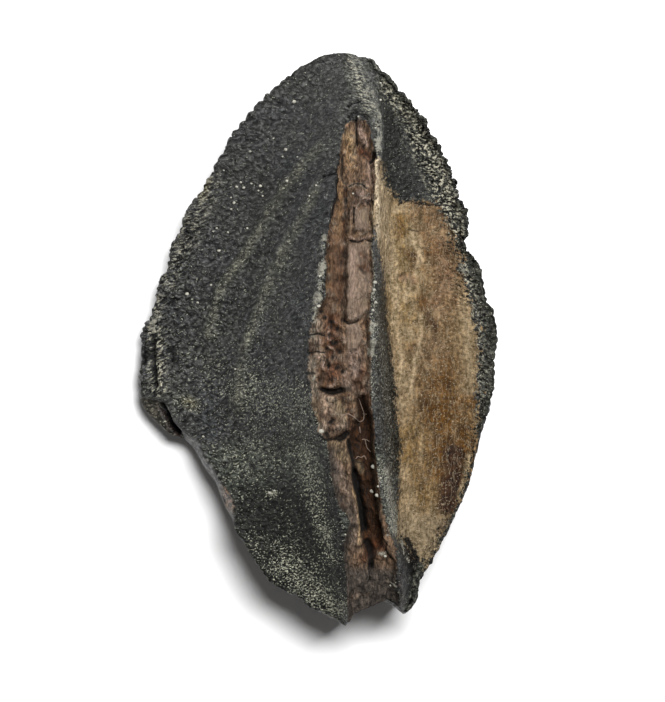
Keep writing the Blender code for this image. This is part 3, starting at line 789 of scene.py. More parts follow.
dentineTint = tinted("tan", [
    ("tanOchre", 1.2 * nearPath([(5.4, 8.2), (5.8, 5), (6.4, 1)], 2.4) * (0.8 + patchy)),
    ("tanRed", 1.3 * nearPath([(7.7, 9.5), (8.6, 7.4), (9.2, 4.8), (8.6, 2.5)], 2.2) * (0.8 + patchy)),
    ("tanRed", 0.9 * nearPath([(8, -0.8), (8.2, -3)], 2.2) * (0.6 + patchy)),
    ("tanDeep", 1.3 * nearPath([(8.7, -3.4), (9, -6), (9.2, -7.8), (9.2, -9.5)], 2.6) * (0.8 + 1.1 * patchy)),
    ("tanDeep", 0.7 * smoothStep(0.0, 0.5, patchy)),
    ("tanLight", 0.7 * smoothStep(0.0, 0.5, -patchy) * smoothStep(9.5, 6.5, x) * smoothStep(-8, -4, y)),
    ("tanDeep", 0.6 * smoothStep(-0.1, 0.5, blotch) * smoothStep(6, 8, x)),
    ("tanOchre", 1.0 * nearPath([(6.5, -7), (7.2, -11)], 2.2)),
    ("tanBrown", 0.8 * nearPath([(7, 1), (7.6, -3), (7.4, -7), (7.6, -10)], 2.0) * (0.5 + 0.9 * patchy)),
    ("tanDeep", 1.3 * nearPath([(8.2, -3.8), (9, -6.2), (9.2, -9)], 1.9) * (0.85 + 0.8 * patchy)),
    ("tanDeep", 0.3 * smoothStep(-4.5, -7.5, y) * smoothStep(-13, -11, y)),
    ("tanGrey", smoothStep(-11.2, -13.2, y) * 0.9),
    ("tanLight", 0.7 * nearPath([(10.3, 3.5), (10.6, 0), (10.7, -3.5)], 0.8)),
    ("stain", 1.6 * nearPath([(9.5, -8.1), (9.35, -10), (9.0, -11.6)], 1.1) * (0.9 + 0.9 * patchy)),
    ("stain", 0.5 * nearPath([(8.5, -13.4), (9, -12.8), (9.4, -11.9)], 0.45)),
    ("tanLight", 0.8 * nearPath([(10.6, -8.2), (10.3, -9.8), (9.9, -11.2)], 0.4)),
    ("stain", 0.6 * nearPath([(7.7, 1.7), (8.3, 0.9)], 0.45)),
    ("stain", 0.5 * nearPath([(6.2, 6.2), (7, 5.6), (6.5, 4.6)], 0.5)),
    # pale fibrous dentine and painted light on the flank beside the keel, where it faces the light
    ("tanPaleAndLit", nearPath([(4.4, 11.1), (4.8, 8.7), (5.1, 6.2), (5.3, 3.8)], 1.1) * (0.68 + 0.8 * fibres)),
    ("tanPaleAndLit", 0.95 * nearPath([(4.75, 9.4), (4.95, 8), (5.05, 6.6)], 0.22)),
    ("tanCream", 1.3 * nearPath([(4.15, 12.3), (4.2, 10.2), (4.3, 8), (4.3, 6.9)], 0.34)),
    ("tanPaleAndLit", 0.8 * nearPath([(5, 5.6), (5.2, 4.4), (5.6, 2.2), (5.4, 1)], 0.24)),
    ("tanPaleAndLit", 0.8 * nearPath([(6.6, 8), (6.8, 7), (7.2, 5.8), (6.9, 4.4)], 0.26)),
    ("tanPaleAndLit", 0.7 * nearPath([(7.3, 1.6), (7.3, 0), (6.9, -1.6), (6.6, -3.4)], 0.3)),
    ("tanRed", 1.2 * nearPath([(6, 4.3), (6.7, 4.1)], 0.5)),
    ("stain", 0.5 * nearPath([(7.9, 1.2), (8.4, 0.4), (8.2, -0.3)], 0.6)),
    ("tanPaleAndLit", 0.5 * nearPath([(5.5, 2), (5.7, -0.4), (5.8, -3.2), (5.9, -5.7)], 0.9) * (0.7 + fibres)),
    ("tanPaleAndLit", 0.45 * nearPath([(6.1, -9.2), (6.3, -11.3), (6.8, -13.4)], 0.9)),
    ("tanPaleAndLit", (0.4 + 0.4 * smoothStep(-10, -5, y)) * smoothStep(0.2, 0.6, wisps) * smoothStep(10.5, 7, x)),
    ("tanPaleAndLit", 0.6 * nearPath([(6.9, 7.3), (6.8, 6.6)], 0.35)),
    ("tanBrown", 0.8 * nearPath([(8, 9.3), (9, 8), (9.7, 5.8), (10.3, 3.8)], 0.9)),
    ("stain", (0.45 * nearPath([(8, 9.5), (9.2, 8), (9.9, 5.6), (10.5, 3.2)], 0.8)
               * smoothStep(-0.1, 0.5, medium))),
])
stripe = nearPath([(1.3, 7.2), (1.2, 4.6), (1.1, 2.2)], 0.75)
coreTint = tinted("core", [
    ("coreBrown", 0.5 * nearPath([(2, 13), (2.6, 12.4), (3.2, 12.2)], 1.2) * (0.6 + patchy)),
    ("coreBrightAndHighlight", 0.85 * nearPath([(2.1, 14.2), (2.3, 13.4), (2.3, 12.7)], 0.55) * (0.9 + 0.8 * patchy)),
    ("coreOchre", 0.9 * nearPath([(2.1, 13.5), (2.2, 12.7), (2.4, 12)], 0.5) * (0.8 + patchy)),
    ("coreOchre", nearPath([(1.6, 10.9), (1.6, 9.4), (1.5, 7.5), (1.4, 6.4)], 0.5) * (0.55 + 0.5 * fibres)),
    ("coreBrown", 0.9 * nearPath([(1.95, 10.6), (1.9, 9), (1.85, 7), (1.75, 5), (1.6, 2.6)], 0.35)),
    ("coreRed", 0.35 * nearPath([(1.2, 6.9), (1.1, 4.5), (1, 2)], 0.75) * (0.6 + 1.4 * patchy)),
    ("coreOchre", 0.55 * nearPath([(0.8, 5.6), (0.7, 3.6)], 0.5) * (0.5 + patchy)),
    ("corePaler", 1.3 * nearPath([(2.85, 14.9), (3.05, 14.3), (3.35, 13.75)], 0.45)),
    ("coreRed", 1.1 * nearPath([(3.1, 13.1), (3.5, 12.9), (3.7, 12.7)], 0.5)),
    ("corePaler", 0.85 * nearPath([(3.6, 12.2), (3.65, 11.4), (3.4, 10.7)], 0.5) * (0.7 + 0.8 * patchy)),
    ("coreBrown", 0.35 * stripe),
    ("coreLilac", 0.8 * nearPath([(2.9, 10.2), (3.4, 9.6)], 0.5)),
    ("corePale", 0.8 * nearPath(lines["topRidge"], 0.25)),
    ("corePale", 0.9 * nearPath(lines["slantingRidge"], 0.2)),
    ("corePaler", 0.8 * nearPath([(2.56, 8.2), (2.56, 8.87), (2.8, 9.36), (3.26, 9.72), (3.75, 9.72)], 0.15)),
    ("corePaler", 0.6 * nearPath(lines["outerRim"], 0.14)),
    ("corePaler", 0.8 * nearPath(lines["lowerRim"], 0.15)),
    ("coreOlive", 0.9 * nearPath([(3.85, 9.3), (3.85, 7.2), (3.8, 6.2)], 0.3)),
    ("coreRed", (0.7 * smoothStep(2.2, 1.4, y) * smoothStep(-3.4, -2.6, y)
                 * nearPath([(1, 1.5), (1.1, -2.6)], 1.0))),
    ("corePale", nearPath(lines["brokenLip"], 0.7) * (0.9 + 0.6 * patchy)),
    ("corePale", 0.6 * nearPath([(0.2, -0.6), (0.5, -1.8), (1.6, -1.2)], 0.4) * (0.6 + patchy)),
    ("coreLilac", 0.8 * nearPath([(2.6, -1.2), (2.6, -2.6), (2.2, -3.2)], 0.9) * (0.8 + patchy)),
    ("coreBrown", 0.8 * nearPath([(0.9, -3), (0.5, -3.5)], 0.5)),
    ("coreOlive", 0.85 * smoothStep(-3.9, -4.4, y) * smoothStep(-6.2, -5.6, y) * (x < 2) * (0.9 + patchy)),
    ("corePink", 0.9 * nearPath([(1.0, -6.2), (1.5, -6.35), (1.9, -6.1)], 0.45)),
    ("corePaler", 0.45 * nearPath([(0.6, -4.5), (0.9, -5.9)], 1.1)),
    ("coreBrown", 0.9 * nearPath([(2.4, -5), (2.4, -6.4), (2.6, -8)], 0.5)),
    ("coreRed", 0.5 * nearPath([(3.2, -2.4), (3.3, -4.4), (3.3, -6)], 0.7)),
    ("coreOlive", 0.8 * nearPath([(1.3, -7.5), (1.8, -8.2)], 0.9)),
    ("coreLilac", 0.8 * nearPath([(1.3, -8.8), (1.5, -9.6)], 0.6)),
    ("corePink", 0.95 * nearPath([(1.9, -9.9), (2.2, -11), (2.5, -12.2), (2.6, -13.4), (2.6, -14.6)], 0.6)),
    ("coreGrey", 0.95 * smoothStep(-7.2, -8, y) * smoothStep(0.85, 0.2, coreEdge - 0.3 * patchy) * (x < 3)),
    ("coreDeep", deep),
    ("coreOlive", 0.75 * nearPath([(2.9, -8.8), (3.1, -9.4)], 0.35)),
    ("coreBrown", 0.6 * deep * nearPath([(3.8, -10), (4, -12), (4.2, -13.6)], 0.45) * (0.4 + patchy)),
    # painted highlight along the edge of the ridge that faces the light
    ("coreBrightAndHighlight", 0.85 * nearPath([(2.49, -10.4), (2.7, -11.15), (2.9, -12.15), (2.98, -13.2),
                                    (2.92, -14.3)], 0.16)),
    ("coreRed", 0.7 * nearPath([(3.4, -15.4), (4.6, -14.6)], 0.7)),
    ("coreGrey", smoothStep(-15.6, -16.6, y)),
    ("corePale", 0.9 * nearPath([(4.3, -15.1), (4.95, -15)], 0.22)),
    ("corePale", 0.6 * nearPath([(4.9, -17), (5.3, -17.3)], 0.18)),
    ("corePink", 0.45 * smoothStep(0.2, 0.7, patchy) * (1 - deep)),
    ("coreDeep", ((0.75 - 0.4 * smoothStep(4, 7, y)) * smoothStep(0.1, 0.5, -patchy) * (1 - plates)
                  * smoothStep(-16, -14, y) * (1 - 0.7 * stripe))),
    ("coreDeep", 0.5 * smoothStep(0.15, 0.5, -small) * (1 - plates) * smoothStep(-8, -6, y)),
    ("corePale", 0.5 * smoothStep(0.15, 0.5, small) * (1 - deep) * smoothStep(-8, -6, y)),
    ("corePink", plates * (0.8 + 0.3 * medium)),
    ("coreOlive", 0.6 * plates * smoothStep(0.1, 0.5, patchy) * smoothStep(2.7, 3.2, x)),
    ("coreBrown", 1.2 * nearPath([(3.1, 5.9), (3.5, 5.5), (3.2, 5)], 0.4) * smoothStep(-0.4, 0.3, medium)),
    ("coreRed", 1.2 * nearPath([(2.8, 4.9), (3.4, 4.75)], 0.36) * smoothStep(-0.5, 0.2, small)),
    ("corePaler", 0.6 * plates * nearPath([(2.4, 6.3), (2.5, 4.6), (2.4, 3)], 0.35)),
    ("corePaler", 1.1 * smoothStep(0.1, 0.45, small) * nearPath([(0.3, 1.4), (0.4, -1.4), (0.7, -2.8)], 1.1)),
    ("corePaler", 0.8 * smoothStep(0.1, 0.5, small) * nearPath([(2, 0.8), (2.6, -0.4), (2.2, -2.4)], 1)),
])
crust = np.maximum.reduce([
    0.6 * nearPath([(2.2, 19.5), (2.6, 18.8), (2.5, 17.9)], 0.8) * (0.75 + 0.9 * small),
    0.5 * nearPath([(3.2, 18.2), (3.8, 17), (4.1, 16), (4.2, 15.2)], 0.3),
    0.4 * nearPath([(1.9, 16.9), (1.8, 15.9)], 0.4),
    0.85 * nearPath([(3.85, 17.3), (4.15, 16.2), (4.3, 14.6), (4.2, 13.2)], 0.2) * (0.8 + 0.6 * patchy),
    (0.4 + 0.5 * patchy) * nearPath([(3.3, 17.2), (3.7, 16.3), (4.1, 15.4), (4.25, 14.2), (4.2, 12.8)], 0.6),
    0.85 * nearPath([(4.1, 13.7), (4.15, 13)], 0.34) + 0.7 * nearPath([(4.05, 14.9), (4.2, 14.4)], 0.26),
    0.75 * nearPath([(3.75, 5.9), (3.85, 4.5), (3.8, 2.8)], 0.35) * (0.7 + patchy),
    0.9 * nearPath([(4.1, 19.0), (4.2, 18.3)], 0.14) + 0.9 * nearPath([(4.42, 17.9), (4.5, 17.6)], 0.14),
    0.5 * nearPath([(3.7, 1.8), (3.8, 0.1), (3.7, -0.9), (3.7, -3.9)], 0.35),
    (nearPath([(0.55, 6.9), (0.34, 5.6), (0.22, 4.2), (0.1, 2.7), (-0.15, 1.5)], 0.8)
     * (0.6 + 0.9 * patchy + 0.6 * small)),
    0.9 * nearPath([(-0.2, 1.2), (-0.3, 0.2), (-0.2, -1.4), (-0.1, -3)], 0.4) * (0.4 + patchy + 0.6 * small),
    1.1 * nearPath([(3.75, -0.3), (3.65, -1)], 0.42) + 0.9 * nearPath([(3.6, 0.6), (3.75, 1)], 0.3),
    nearPath([(5.8, -13.9), (6, -14.7), (6.35, -15.5)], 0.26) * (0.7 + 0.6 * patchy + 0.5 * small),
    0.9 * nearPath([(4.4, -15.1), (5, -15)], 0.2) + 0.9 * nearPath([(5.2, -17.1), (5.5, -17.2)], 0.18),
    1.25 * nearPath([(-11.35, 2.8), (-11.45, 1.9), (-11.65, 0.7)], 0.5),
    0.35 * nearPath([(-11, 0.6), (-11.1, -0.8), (-11.2, -2.3), (-11.3, -3.6)], 0.7),
    0.6 * nearPath([(4.8, -9), (5.0, -10.5), (5.2, -12), (5.3, -13.4)], 0.8),
    0.4 * rimHere * (1 - smoothStep(0.3, 0.4, share)) * smoothStep(0.05, 0.12, share) * (0.9 + 0.9 * medium),
    0.3 * rimHere * (1 - smoothStep(0.6, 0.7, share)) * (0.8 + 1.2 * medium),
    0.7 * nearPath([(6.2, 16.3), (6.9, 15.4)], 0.7),
    nearPath([(9.1, 8.4), (9.8, 6.6), (10.3, 4.6), (10.9, 2.2), (11.2, 0.4)], 0.5) * (0.44 + 0.66 * medium),
    0.4 * nearPath([(11.2, 0.4), (11.2, -3), (11.1, -6)], 0.4),
    0.45 * nearPath([(3.9, 3), (4.6, -1), (4.9, -6), (5.2, -10)], 0.9),
    (0.35 * isLeft * (1 - smoothStep(0.6, 2.2, inward)) * smoothStep(0.3, 0.4, share)
     * (1 - smoothStep(0.5, 0.58, share))),
]) * np.where(isFront, 1, 0.6) * (1 - 0.7 * np.clip(wrinkled, 0, 1) * smoothStep(0.55, 0.2, fold))
dustings = [
    # where pale grit clings: path, width, how much
    ([(-2.2, -15.6), (-0.6, -17.2), (1.2, -18.8)], 2.4, 0.9),
    ([(-4.6, -13.8), (-3.2, -15.8), (-1.8, -17.4)], 1.2, 0.5),
    ([(-1, -7.6), (-0.3, -10), (0.4, -12.4), (0.9, -15)], 1.6, 0.85),
    ([(-5.4, -8.2), (-2, -7.4)], 3.4, 0.42),
    ([(-4.6, -3.8), (-2.8, -4.8), (-0.8, -5.4)], 3.8, 0.6),
    ([(-9.8, -4.2), (-8.4, -4.8)], 0.8, 0.8),
    ([(-3.4, -10.85), (-2.9, -10.7)], 0.42, 1.2),
    ([(-8.4, -1), (-7.4, -3)], 2.4, 0.25),
    ([(4.3, -8.5), (4.9, -11), (5.3, -13.2)], 0.8, 0.7),
    ([(3.7, 4.4), (3.9, 0), (4, -4)], 0.6, 0.45),
]
speckle = np.maximum.reduce([amount * nearPath(path, width) for path, width, amount in dustings])
speckle = np.maximum(speckle, 0.38 * bands * (0.7 + patchy)) * (1 + 0.5 * medium)
strewn = (0.08 + 0.14 * smoothStep(-0.1, 0.5, patchy)) * smoothStep(9, 2, y)
besideCrest = nearPath(lines["lowerCrest"], 0.9)
speckle = (speckle * (1 - wall) * (1 - 0.8 * besideCrest) + strewn) * isFront
combs = [
    # where pale crust and painted highlights show on the wrinkles' ridges
    ([(-11.5, 2.9), (-11.6, 1.2), (-11.4, -0.2), (-11.2, -3.4)], 1.0, 1.3),
    ([(-10.6, 4.2), (-9.8, 6.4), (-8.8, 8.6), (-7.7, 10.9)], 1.6, 0.6),
    ([(5, 17.6), (6.2, 16), (7, 14.8)], 1.2, 0.9), ([(6.2, 16.2), (6.9, 15.4)], 0.7, 1.3),
    ([(7.4, 14.3), (8.2, 12.9), (9, 10.8), (9.4, 9.2), (9.3, 7.6)], 1.9, 1.5),
    ([(9.8, 6.2), (10.4, 3.8), (11, 1.6), (11.2, -0.4), (11, -3)], 0.9, 0.9),
    ([(11.2, -4), (10.6, -7.6), (9.8, -10.6), (9, -12.8)], 0.7, 0.6),
    ([(2.4, 19.4), (2.9, 18), (3.2, 16.8), (3.8, 15.9)], 0.8, 0.8),
]
comb = np.maximum.reduce([amount * nearPath(path, width) for path, width, amount in combs]) * isFront
comb *= np.where(isLeft, 1, smoothStep(0.15, 0.55, inward))
grain = fromTable([(-20.5, 1.05), (0, 1.1), (6, 0.95), (11, 0.85), (21, 0.8)], y)
grain = grain * (1 - 0.45 * (x > 4.2) * smoothStep(8, 10, y) * (1 - rimHere))
grain = grain + 1.1 * nearPath(lines["besideKeel"], 1.1) * ~isLeft
grain = grain + 0.8 * nearPath(lines["lobe"], 1.8) * (x > 5.3)
print("colours painted")


def closingRings(ring, depth, count):
    # rings that close an end, dished towards the middle of the crown
    centre = ring.mean(axis=0)
    rings = []
    for k in range(1, count):
        size = 1 - k / count
        inner = centre + (ring - centre) * size
        inner[:, 1] += depth * (1 - size**2) + 0.1 * layeredNoise(inner, 0.8, 110)
        rings.append(inner)
    return rings, centre + np.array([0, depth, 0])


def closed(values, tipCount, baseCount):
    # the values of the end rings' points follow those of the first and last row
    tipRows = np.repeat(values[:1], tipCount - 1, axis=0)
    baseRows = np.repeat(values[-1:], baseCount - 1, axis=0)
    full = np.concatenate([tipRows, values, baseRows])
    full = full.reshape(-1, *values.shape[2:])
    centres = [values[row].mean(axis=0, keepdims=True) for row in (0, -1)]
    return np.concatenate([full, *centres])


def paired(across, along):
    return np.stack(np.broadcast_arrays(across, along), axis=-1)


def bakingMap(skin, count):
    # the map for baking: around the crown one way and along it the other, the front given more room
    steps = np.linalg.norm(np.roll(skin, -1, axis=1) - skin, axis=-1).mean(axis=0)
    steps[~fields["isFront"][0]] *= crown["backMapShare"]
    acrossMap = np.concatenate([[0], np.cumsum(steps)]) / steps.sum()
    alongMap = np.linspace(0.004, 0.996, count + 2)
    left, right, near, far = acrossMap[:-1], acrossMap[1:], alongMap[1:-2], alongMap[2:-1]
    corners = [(left, near), (left, far), (right, far), (right, near)]
    quadMap = np.stack([paired(u[None, :], v[:, None]) for u, v in corners], axis=2)
    middle = (left + right) / 2
    tipMap = [(left, alongMap[1]), (right, alongMap[1]), (middle, alongMap[0])]
    baseMap = [(right, alongMap[-2]), (left, alongMap[-2]), (middle, alongMap[-1])]
    ends = [np.stack([paired(u, v) for u, v in part], axis=1) for part in (tipMap, baseMap)]
    return np.concatenate([quadMap.reshape(-1, 2), *(part.reshape(-1, 2) for part in ends)])


def crownMesh(skin, floats, colours):
    tipCount, baseCount = crown["tipRings"], crown["baseRings"]
    tipRings, tip = closingRings(skin[0], crown["tipDepth"], tipCount)
    baseRings, base = closingRings(skin[-1], crown["socketDepth"], baseCount)
    rings = np.stack([*reversed(tipRings), *skin, *baseRings])
    count, around = rings.shape[:2]
    points = np.concatenate([rings.reshape(-1, 3), [tip, base]]) * mm
    row, k = np.meshgrid(np.arange(count - 1), np.arange(around), indexing="ij")
    after = (k + 1) % around
    quads = np.stack([row * around + k, (row + 1) * around + k, (row + 1) * around + after,
                      row * around + after], axis=-1).reshape(-1, 4)
    k, after = k[0], after[0]
    last = (count - 1) * around
    tipFaces = np.stack([k, after, k * 0 + count * around], axis=1)
    baseFaces = np.stack([last + after, last + k, k * 0 + count * around + 1], axis=1)
    mesh = bpy.data.meshes.new("crownSkin")
    mesh.from_pydata(points.tolist(), [], quads.tolist() + tipFaces.tolist() + baseFaces.tolist())
    mesh.shade_smooth()
    uv = bakingMap(skin, count).astype(np.float32)
    mesh.uv_layers.new(name="OFBake").uv.foreach_set("vector", uv.ravel())
    for name, values in floats.items():
        layer = mesh.attributes.new(name, "FLOAT", "POINT")
        layer.data.foreach_set("value", closed(values.astype(float), tipCount, baseCount))
    for name, values in colours.items():
        layer = mesh.attributes.new(name, "FLOAT_COLOR", "POINT")
        flat = closed(values, tipCount, baseCount)
        layer.data.foreach_set("color", np.concatenate([flat, np.ones((len(flat), 1))], axis=1).ravel())
    return mesh


def makeNode(tree, kind, inputs=(), **settings):
    item = tree.nodes.new(kind)
    for name, value in settings.items():
        setattr(item, name, value)
    for name, value in dict(inputs).items():
        if isinstance(value, bpy.types.NodeSocket):
            tree.links.new(value, item.inputs[name])
        else:
            item.inputs[name].default_value = value
    return item


def nodeAfter(kind, inputs, output=0, **settings):
    # a node's output, in the tree that its linked inputs belong to
    inputs = dict(inputs)
    tree = next(value.id_data for value in inputs.values() if isinstance(value, bpy.types.NodeSocket))
    return makeNode(tree, kind, inputs, **settings).outputs[output]


def mathOf(operation, *values):
    return nodeAfter("ShaderNodeMath", enumerate(values), operation=operation)


def times(first, *others):
    for other in others:
        first = mathOf("MULTIPLY", first, other)
    return first


def weighed(total, *terms):
    # the total with each value added by its weight
    for value, weight in terms:
        total = mathOf("MULTIPLY_ADD", value, weight, total)
    return total


def eased(value, low, high, toLow=0.0, toHigh=1.0):
    # value's way from low to high, eased
    inputs = {"Value": value, "From Min": low, "From Max": high, "To Min": toLow, "To Max": toHigh}
    return nodeAfter("ShaderNodeMapRange", inputs, interpolation_type="SMOOTHSTEP")


def blended(amount, under, over):
    return nodeAfter("ShaderNodeMix", {0: amount, 6: under, 7: over}, 2, data_type="RGBA")


def scaled(colour, amount):
    # a colour or a place multiplied by a number
    return nodeAfter("ShaderNodeVectorMath", {0: colour, "Scale": amount}, operation="SCALE")


def multiplied(first, second):
    # a colour or a place multiplied by another, part by part
    return nodeAfter("ShaderNodeVectorMath", {0: first, 1: second}, operation="MULTIPLY")


def noise(place, stretch, detail, roughness):
    inputs = {"Vector": multiplied(place, stretch), "Scale": 1.0, "Detail": detail, "Roughness": roughness}
    return nodeAfter("ShaderNodeTexNoise", inputs)


def cells(place, stretch, output="Distance", feature="F1"):
    inputs = {"Vector": multiplied(place, stretch), "Scale": 1.0}
    return nodeAfter("ShaderNodeTexVoronoi", inputs, output, feature=feature)


def stored(tree, name, output="Fac"):
    return makeNode(tree, "ShaderNodeAttribute", attribute_name=name).outputs[output]


def newFinish(name):
    material = bpy.data.materials.new(name)
    material.use_nodes = True
    tree = material.node_tree
    place = scaled(makeNode(tree, "ShaderNodeTexCoord").outputs["Object"], 1 / mm)
    return material, tree, tree.nodes["Principled BSDF"], place


toothFinish = {
    # noise that the drift bends: its stretch each way, its detail, its roughness
    "drifting": {
        "grains": ((2.6, 4.4, 2.2), 1.5, 0.5),
        "strands": ((4.5, 1.3, 2.4), 3, 0.6),
        "threads": ((8.5, 2.4, 3), 2.5, 0.65),
        "hairs": ((3.2, 0.6, 2.6), 2.5, 0.55),
        "specks": ((7.2, 10, 6.5), 1.5, 0.55),
        "mottling": ((1.4, 1, 0.8), 2, 0.6),
    },
    # noise that it leaves straight
    "straight": {
        "fine": ((4.2, 4.2, 3.15), 2.5, 0.65),
        "grit": ((8.5, 8.5, 6.375), 2, 0.6),
    },
    "drift": ((1.3, 1.3, 1.3), 1, 0.5),
    "driftReach": 0.5,
    "creases": ((4.4, 2.3, 1), 2, 0.6),  # along the margin and in from it
    # cells: their stretch each way
    "pebbles": (3, 4.6, 2.4),
    "flakes": (1.5, 1, 0.8),
    "dots": (2.1, 2.1, 2.1),
    "bumpHeight": 0.19,
    "enamelRoughness": 0.5,
    "bareRoughness": 0.82,
    "shine": 0.22,
    # pale matter over the base colours, and painted highlights on the wrinkles' ridges
    "combPaleAndHighlight": paint(212, 207, 184),
    "frost": paint(198, 198, 176),
    "dot": paint(150, 150, 140),
    "spark": paint(204, 186, 156),
    "wisp": paint(188, 170, 142),
    "crust": paint(168, 165, 151),
}


def overlaid(colour, name, amount):
    # with some of a pale colour over it: pale matter, and painted highlight on the wrinkles' ridges
    return blended(amount, colour, (*toothFinish[name], 1))


def surfaceGrain(tree, place):
    # the noises that the parts of the finish share
    grain = {name: noise(place, *rule) for name, rule in toothFinish["straight"].items()}
    grain["drift"] = noise(place, *toothFinish["drift"])
    reach = {0: place, 1: scaled(grain["drift"], toothFinish["driftReach"])}
    drifted = nodeAfter("ShaderNodeVectorMath", reach, operation="ADD")
    for name, rule in toothFinish["drifting"].items():
        grain[name] = noise(drifted, *rule)
    grain["pebbles"] = cells(drifted, toothFinish["pebbles"])
    grain["cracks"] = cells(drifted, toothFinish["flakes"], feature="DISTANCE_TO_EDGE")
    grain["dots"] = cells(place, toothFinish["dots"])
    grain["dotColour"] = cells(place, toothFinish["dots"], "Color")
    alongFolds = {"X": stored(tree, "sway"), "Y": stored(tree, "inward")}
    alongFolds = makeNode(tree, "ShaderNodeCombineXYZ", alongFolds).outputs[0]
    grain["creases"] = noise(alongFolds, *toothFinish["creases"])
    grain["finely"] = stored(tree, "finely")
    # painted shade in the creases' valleys and painted light on their ridges, where the finish is finely
    # wrinkled
    creased = times(eased(grain["creases"], 0.34, 0.64, -0.68, 0.6), grain["finely"])
    grain["creased"] = mathOf("ADD", creased, 1.0)
    return grain


def enamelColour(tree, grain):
    # dark granules with painted shade in their gaps, painted shade and light on the creases, pale crust and
    # painted highlights on the wrinkles' ridges, and strewn pale grit
    shade = times(eased(grain["grains"], 0.32, 0.7, 0.4, 1.9), eased(grain["pebbles"], 0.35, 0.75, 1.2, 0.38),
                  eased(grain["fine"], 0.32, 0.68, 0.62, 1.5))
    shade = weighed(0.95, (mathOf("SUBTRACT", shade, 0.95), stored(tree, "grain")))
    # painted shade and light on the creases
    colour = scaled(stored(tree, "enamelTint", "Color"), times(shade, grain["creased"]))
    # pale crust and painted highlight on the wrinkles' ridges
    pale = times(eased(grain["creases"], 0.5, 0.6), stored(tree, "comb"),
                 eased(grain["grit"], 0.4, 0.54, 0.15, 1))
    colour = overlaid(colour, "combPaleAndHighlight", pale)
    frost = weighed(grain["specks"], (stored(tree, "speckle"), 0.16))
    frost = times(eased(frost, 0.655, 0.72, 0, 0.95), eased(grain["grit"], 0.38, 0.6, 0.25, 1))
    colour = overlaid(colour, "frost", frost)
    rare = nodeAfter("ShaderNodeSeparateColor", {0: grain["dotColour"]})
    dot = times(mathOf("GREATER_THAN", rare, 0.94), eased(grain["dots"], 0.18, 0.1, 0, 0.45))
    return overlaid(colour, "dot", dot)


def hollowColour(tree, grain):
    # granular dentine with fine long fibres, painted shade and light on the creases, and warmer in its darker
    # parts
    tone = times(eased(grain["strands"], 0.3, 0.7, 0.72, 1.3), eased(grain["fine"], 0.3, 0.7, 0.57, 1.53),
                 eased(grain["mottling"], 0.32, 0.66, 0.74, 1.28), grain["creased"])
    colour = scaled(stored(tree, "dentineTint", "Color"), tone)
    colour = multiplied(colour, blended(eased(tone, 1.0, 0.4), (1, 1, 1, 1), (1.0, 0.94, 0.68, 1)))
    colour = overlaid(colour, "spark", eased(grain["specks"], 0.6, 0.72, 0, 0.5))
    beside = mathOf("ABSOLUTE", mathOf("SUBTRACT", grain["hairs"], 0.5))
    return overlaid(colour, "wisp", eased(beside, 0.03, 0.0, 0, 0.32))


def coreColour(tree, grain):
    # splintery and cracked, and calmer on the flakes
    tone = times(eased(grain["strands"], 0.3, 0.7, 0.55, 1.5), eased(grain["threads"], 0.3, 0.7, 0.4, 1.9))
    calmTone = times(eased(grain["drift"], 0.3, 0.7, 0.84, 1.14),
                     eased(grain["threads"], 0.3, 0.7, 0.85, 1.15))
    tone = blended(stored(tree, "smooth"), tone, calmTone)
    cracked = eased(weighed(grain["cracks"], (grain["fine"], 0.12)), 0.03, 0.12, 0.3, 1)
    cracked = blended(eased(grain["drift"], 0.42, 0.6), cracked, (1, 1, 1, 1))
    return multiplied(stored(tree, "coreTint", "Color"), multiplied(tone, cracked))


def fossilFinish():
    material, tree, shader, place = newFinish("fossilTooth")
    grain = surfaceGrain(tree, place)
    fine = grain["fine"]

    # ragged edges between enamel, hollow and core, and crust and painted shade in the cuts over all three
    folded = times(weighed(mathOf("SUBTRACT", grain["creases"], 1.46), (fine, 1.8)), grain["finely"])
    hollowLine = mathOf("ADD", folded, stored(tree, "hollowEdge"))
    isHollow = eased(weighed(hollowLine, (fine, 1.5)), 0.62, 0.92)
    isCore = eased(weighed(stored(tree, "coreEdge"), (fine, 0.4)), 0.16, 0.24)
    colour = blended(isHollow, enamelColour(tree, grain), hollowColour(tree, grain))
    colour = blended(isCore, colour, coreColour(tree, grain))
    crusted = weighed(times(fine, 0.4), (grain["grit"], 0.6), (stored(tree, "crust"), 0.38))
    crusted = eased(crusted, 0.66, 0.80, 0, 0.85)
    colour = overlaid(colour, "crust", crusted)
    # painted shade, with some dark fill, in the cracks, pits and wrinkle valleys
    paintedCutShade = eased(weighed(stored(tree, "cutShadeAndFill"), (fine, 0.3)), 0.35, 1.0, 1.0, 0.08)
    tree.links.new(scaled(colour, paintedCutShade), shader.inputs["Base Color"])

    bare = mathOf("MAXIMUM", isHollow, isCore)
    roughness = eased(bare, 0, 1, toothFinish["enamelRoughness"], toothFinish["bareRoughness"])
    roughness = mathOf("ADD", roughness, eased(fine, 0.3, 0.7, -0.08, 0.1))
    tree.links.new(weighed(roughness, (crusted, 0.2)), shader.inputs["Roughness"])
    knobbly = mathOf("SUBTRACT", grain["grains"], times(grain["pebbles"], 0.5))
    knobbly = times(knobbly, mathOf("SUBTRACT", 1.0, bare))
    relief = weighed(knobbly, (fine, 0.7), (grain["grit"], 0.3),
                     (times(grain["creases"], grain["finely"]), 1.6), (times(grain["strands"], bare), 0.8))
    calm = weighed(1.0, (stored(tree, "smooth"), -0.85))
    height = {"Strength": calm, "Distance": toothFinish["bumpHeight"] * mm, "Height": relief}
    tree.links.new(nodeAfter("ShaderNodeBump", height), shader.inputs["Normal"])
    shader.inputs["Specular IOR Level"].default_value = toothFinish["shine"]
    return material


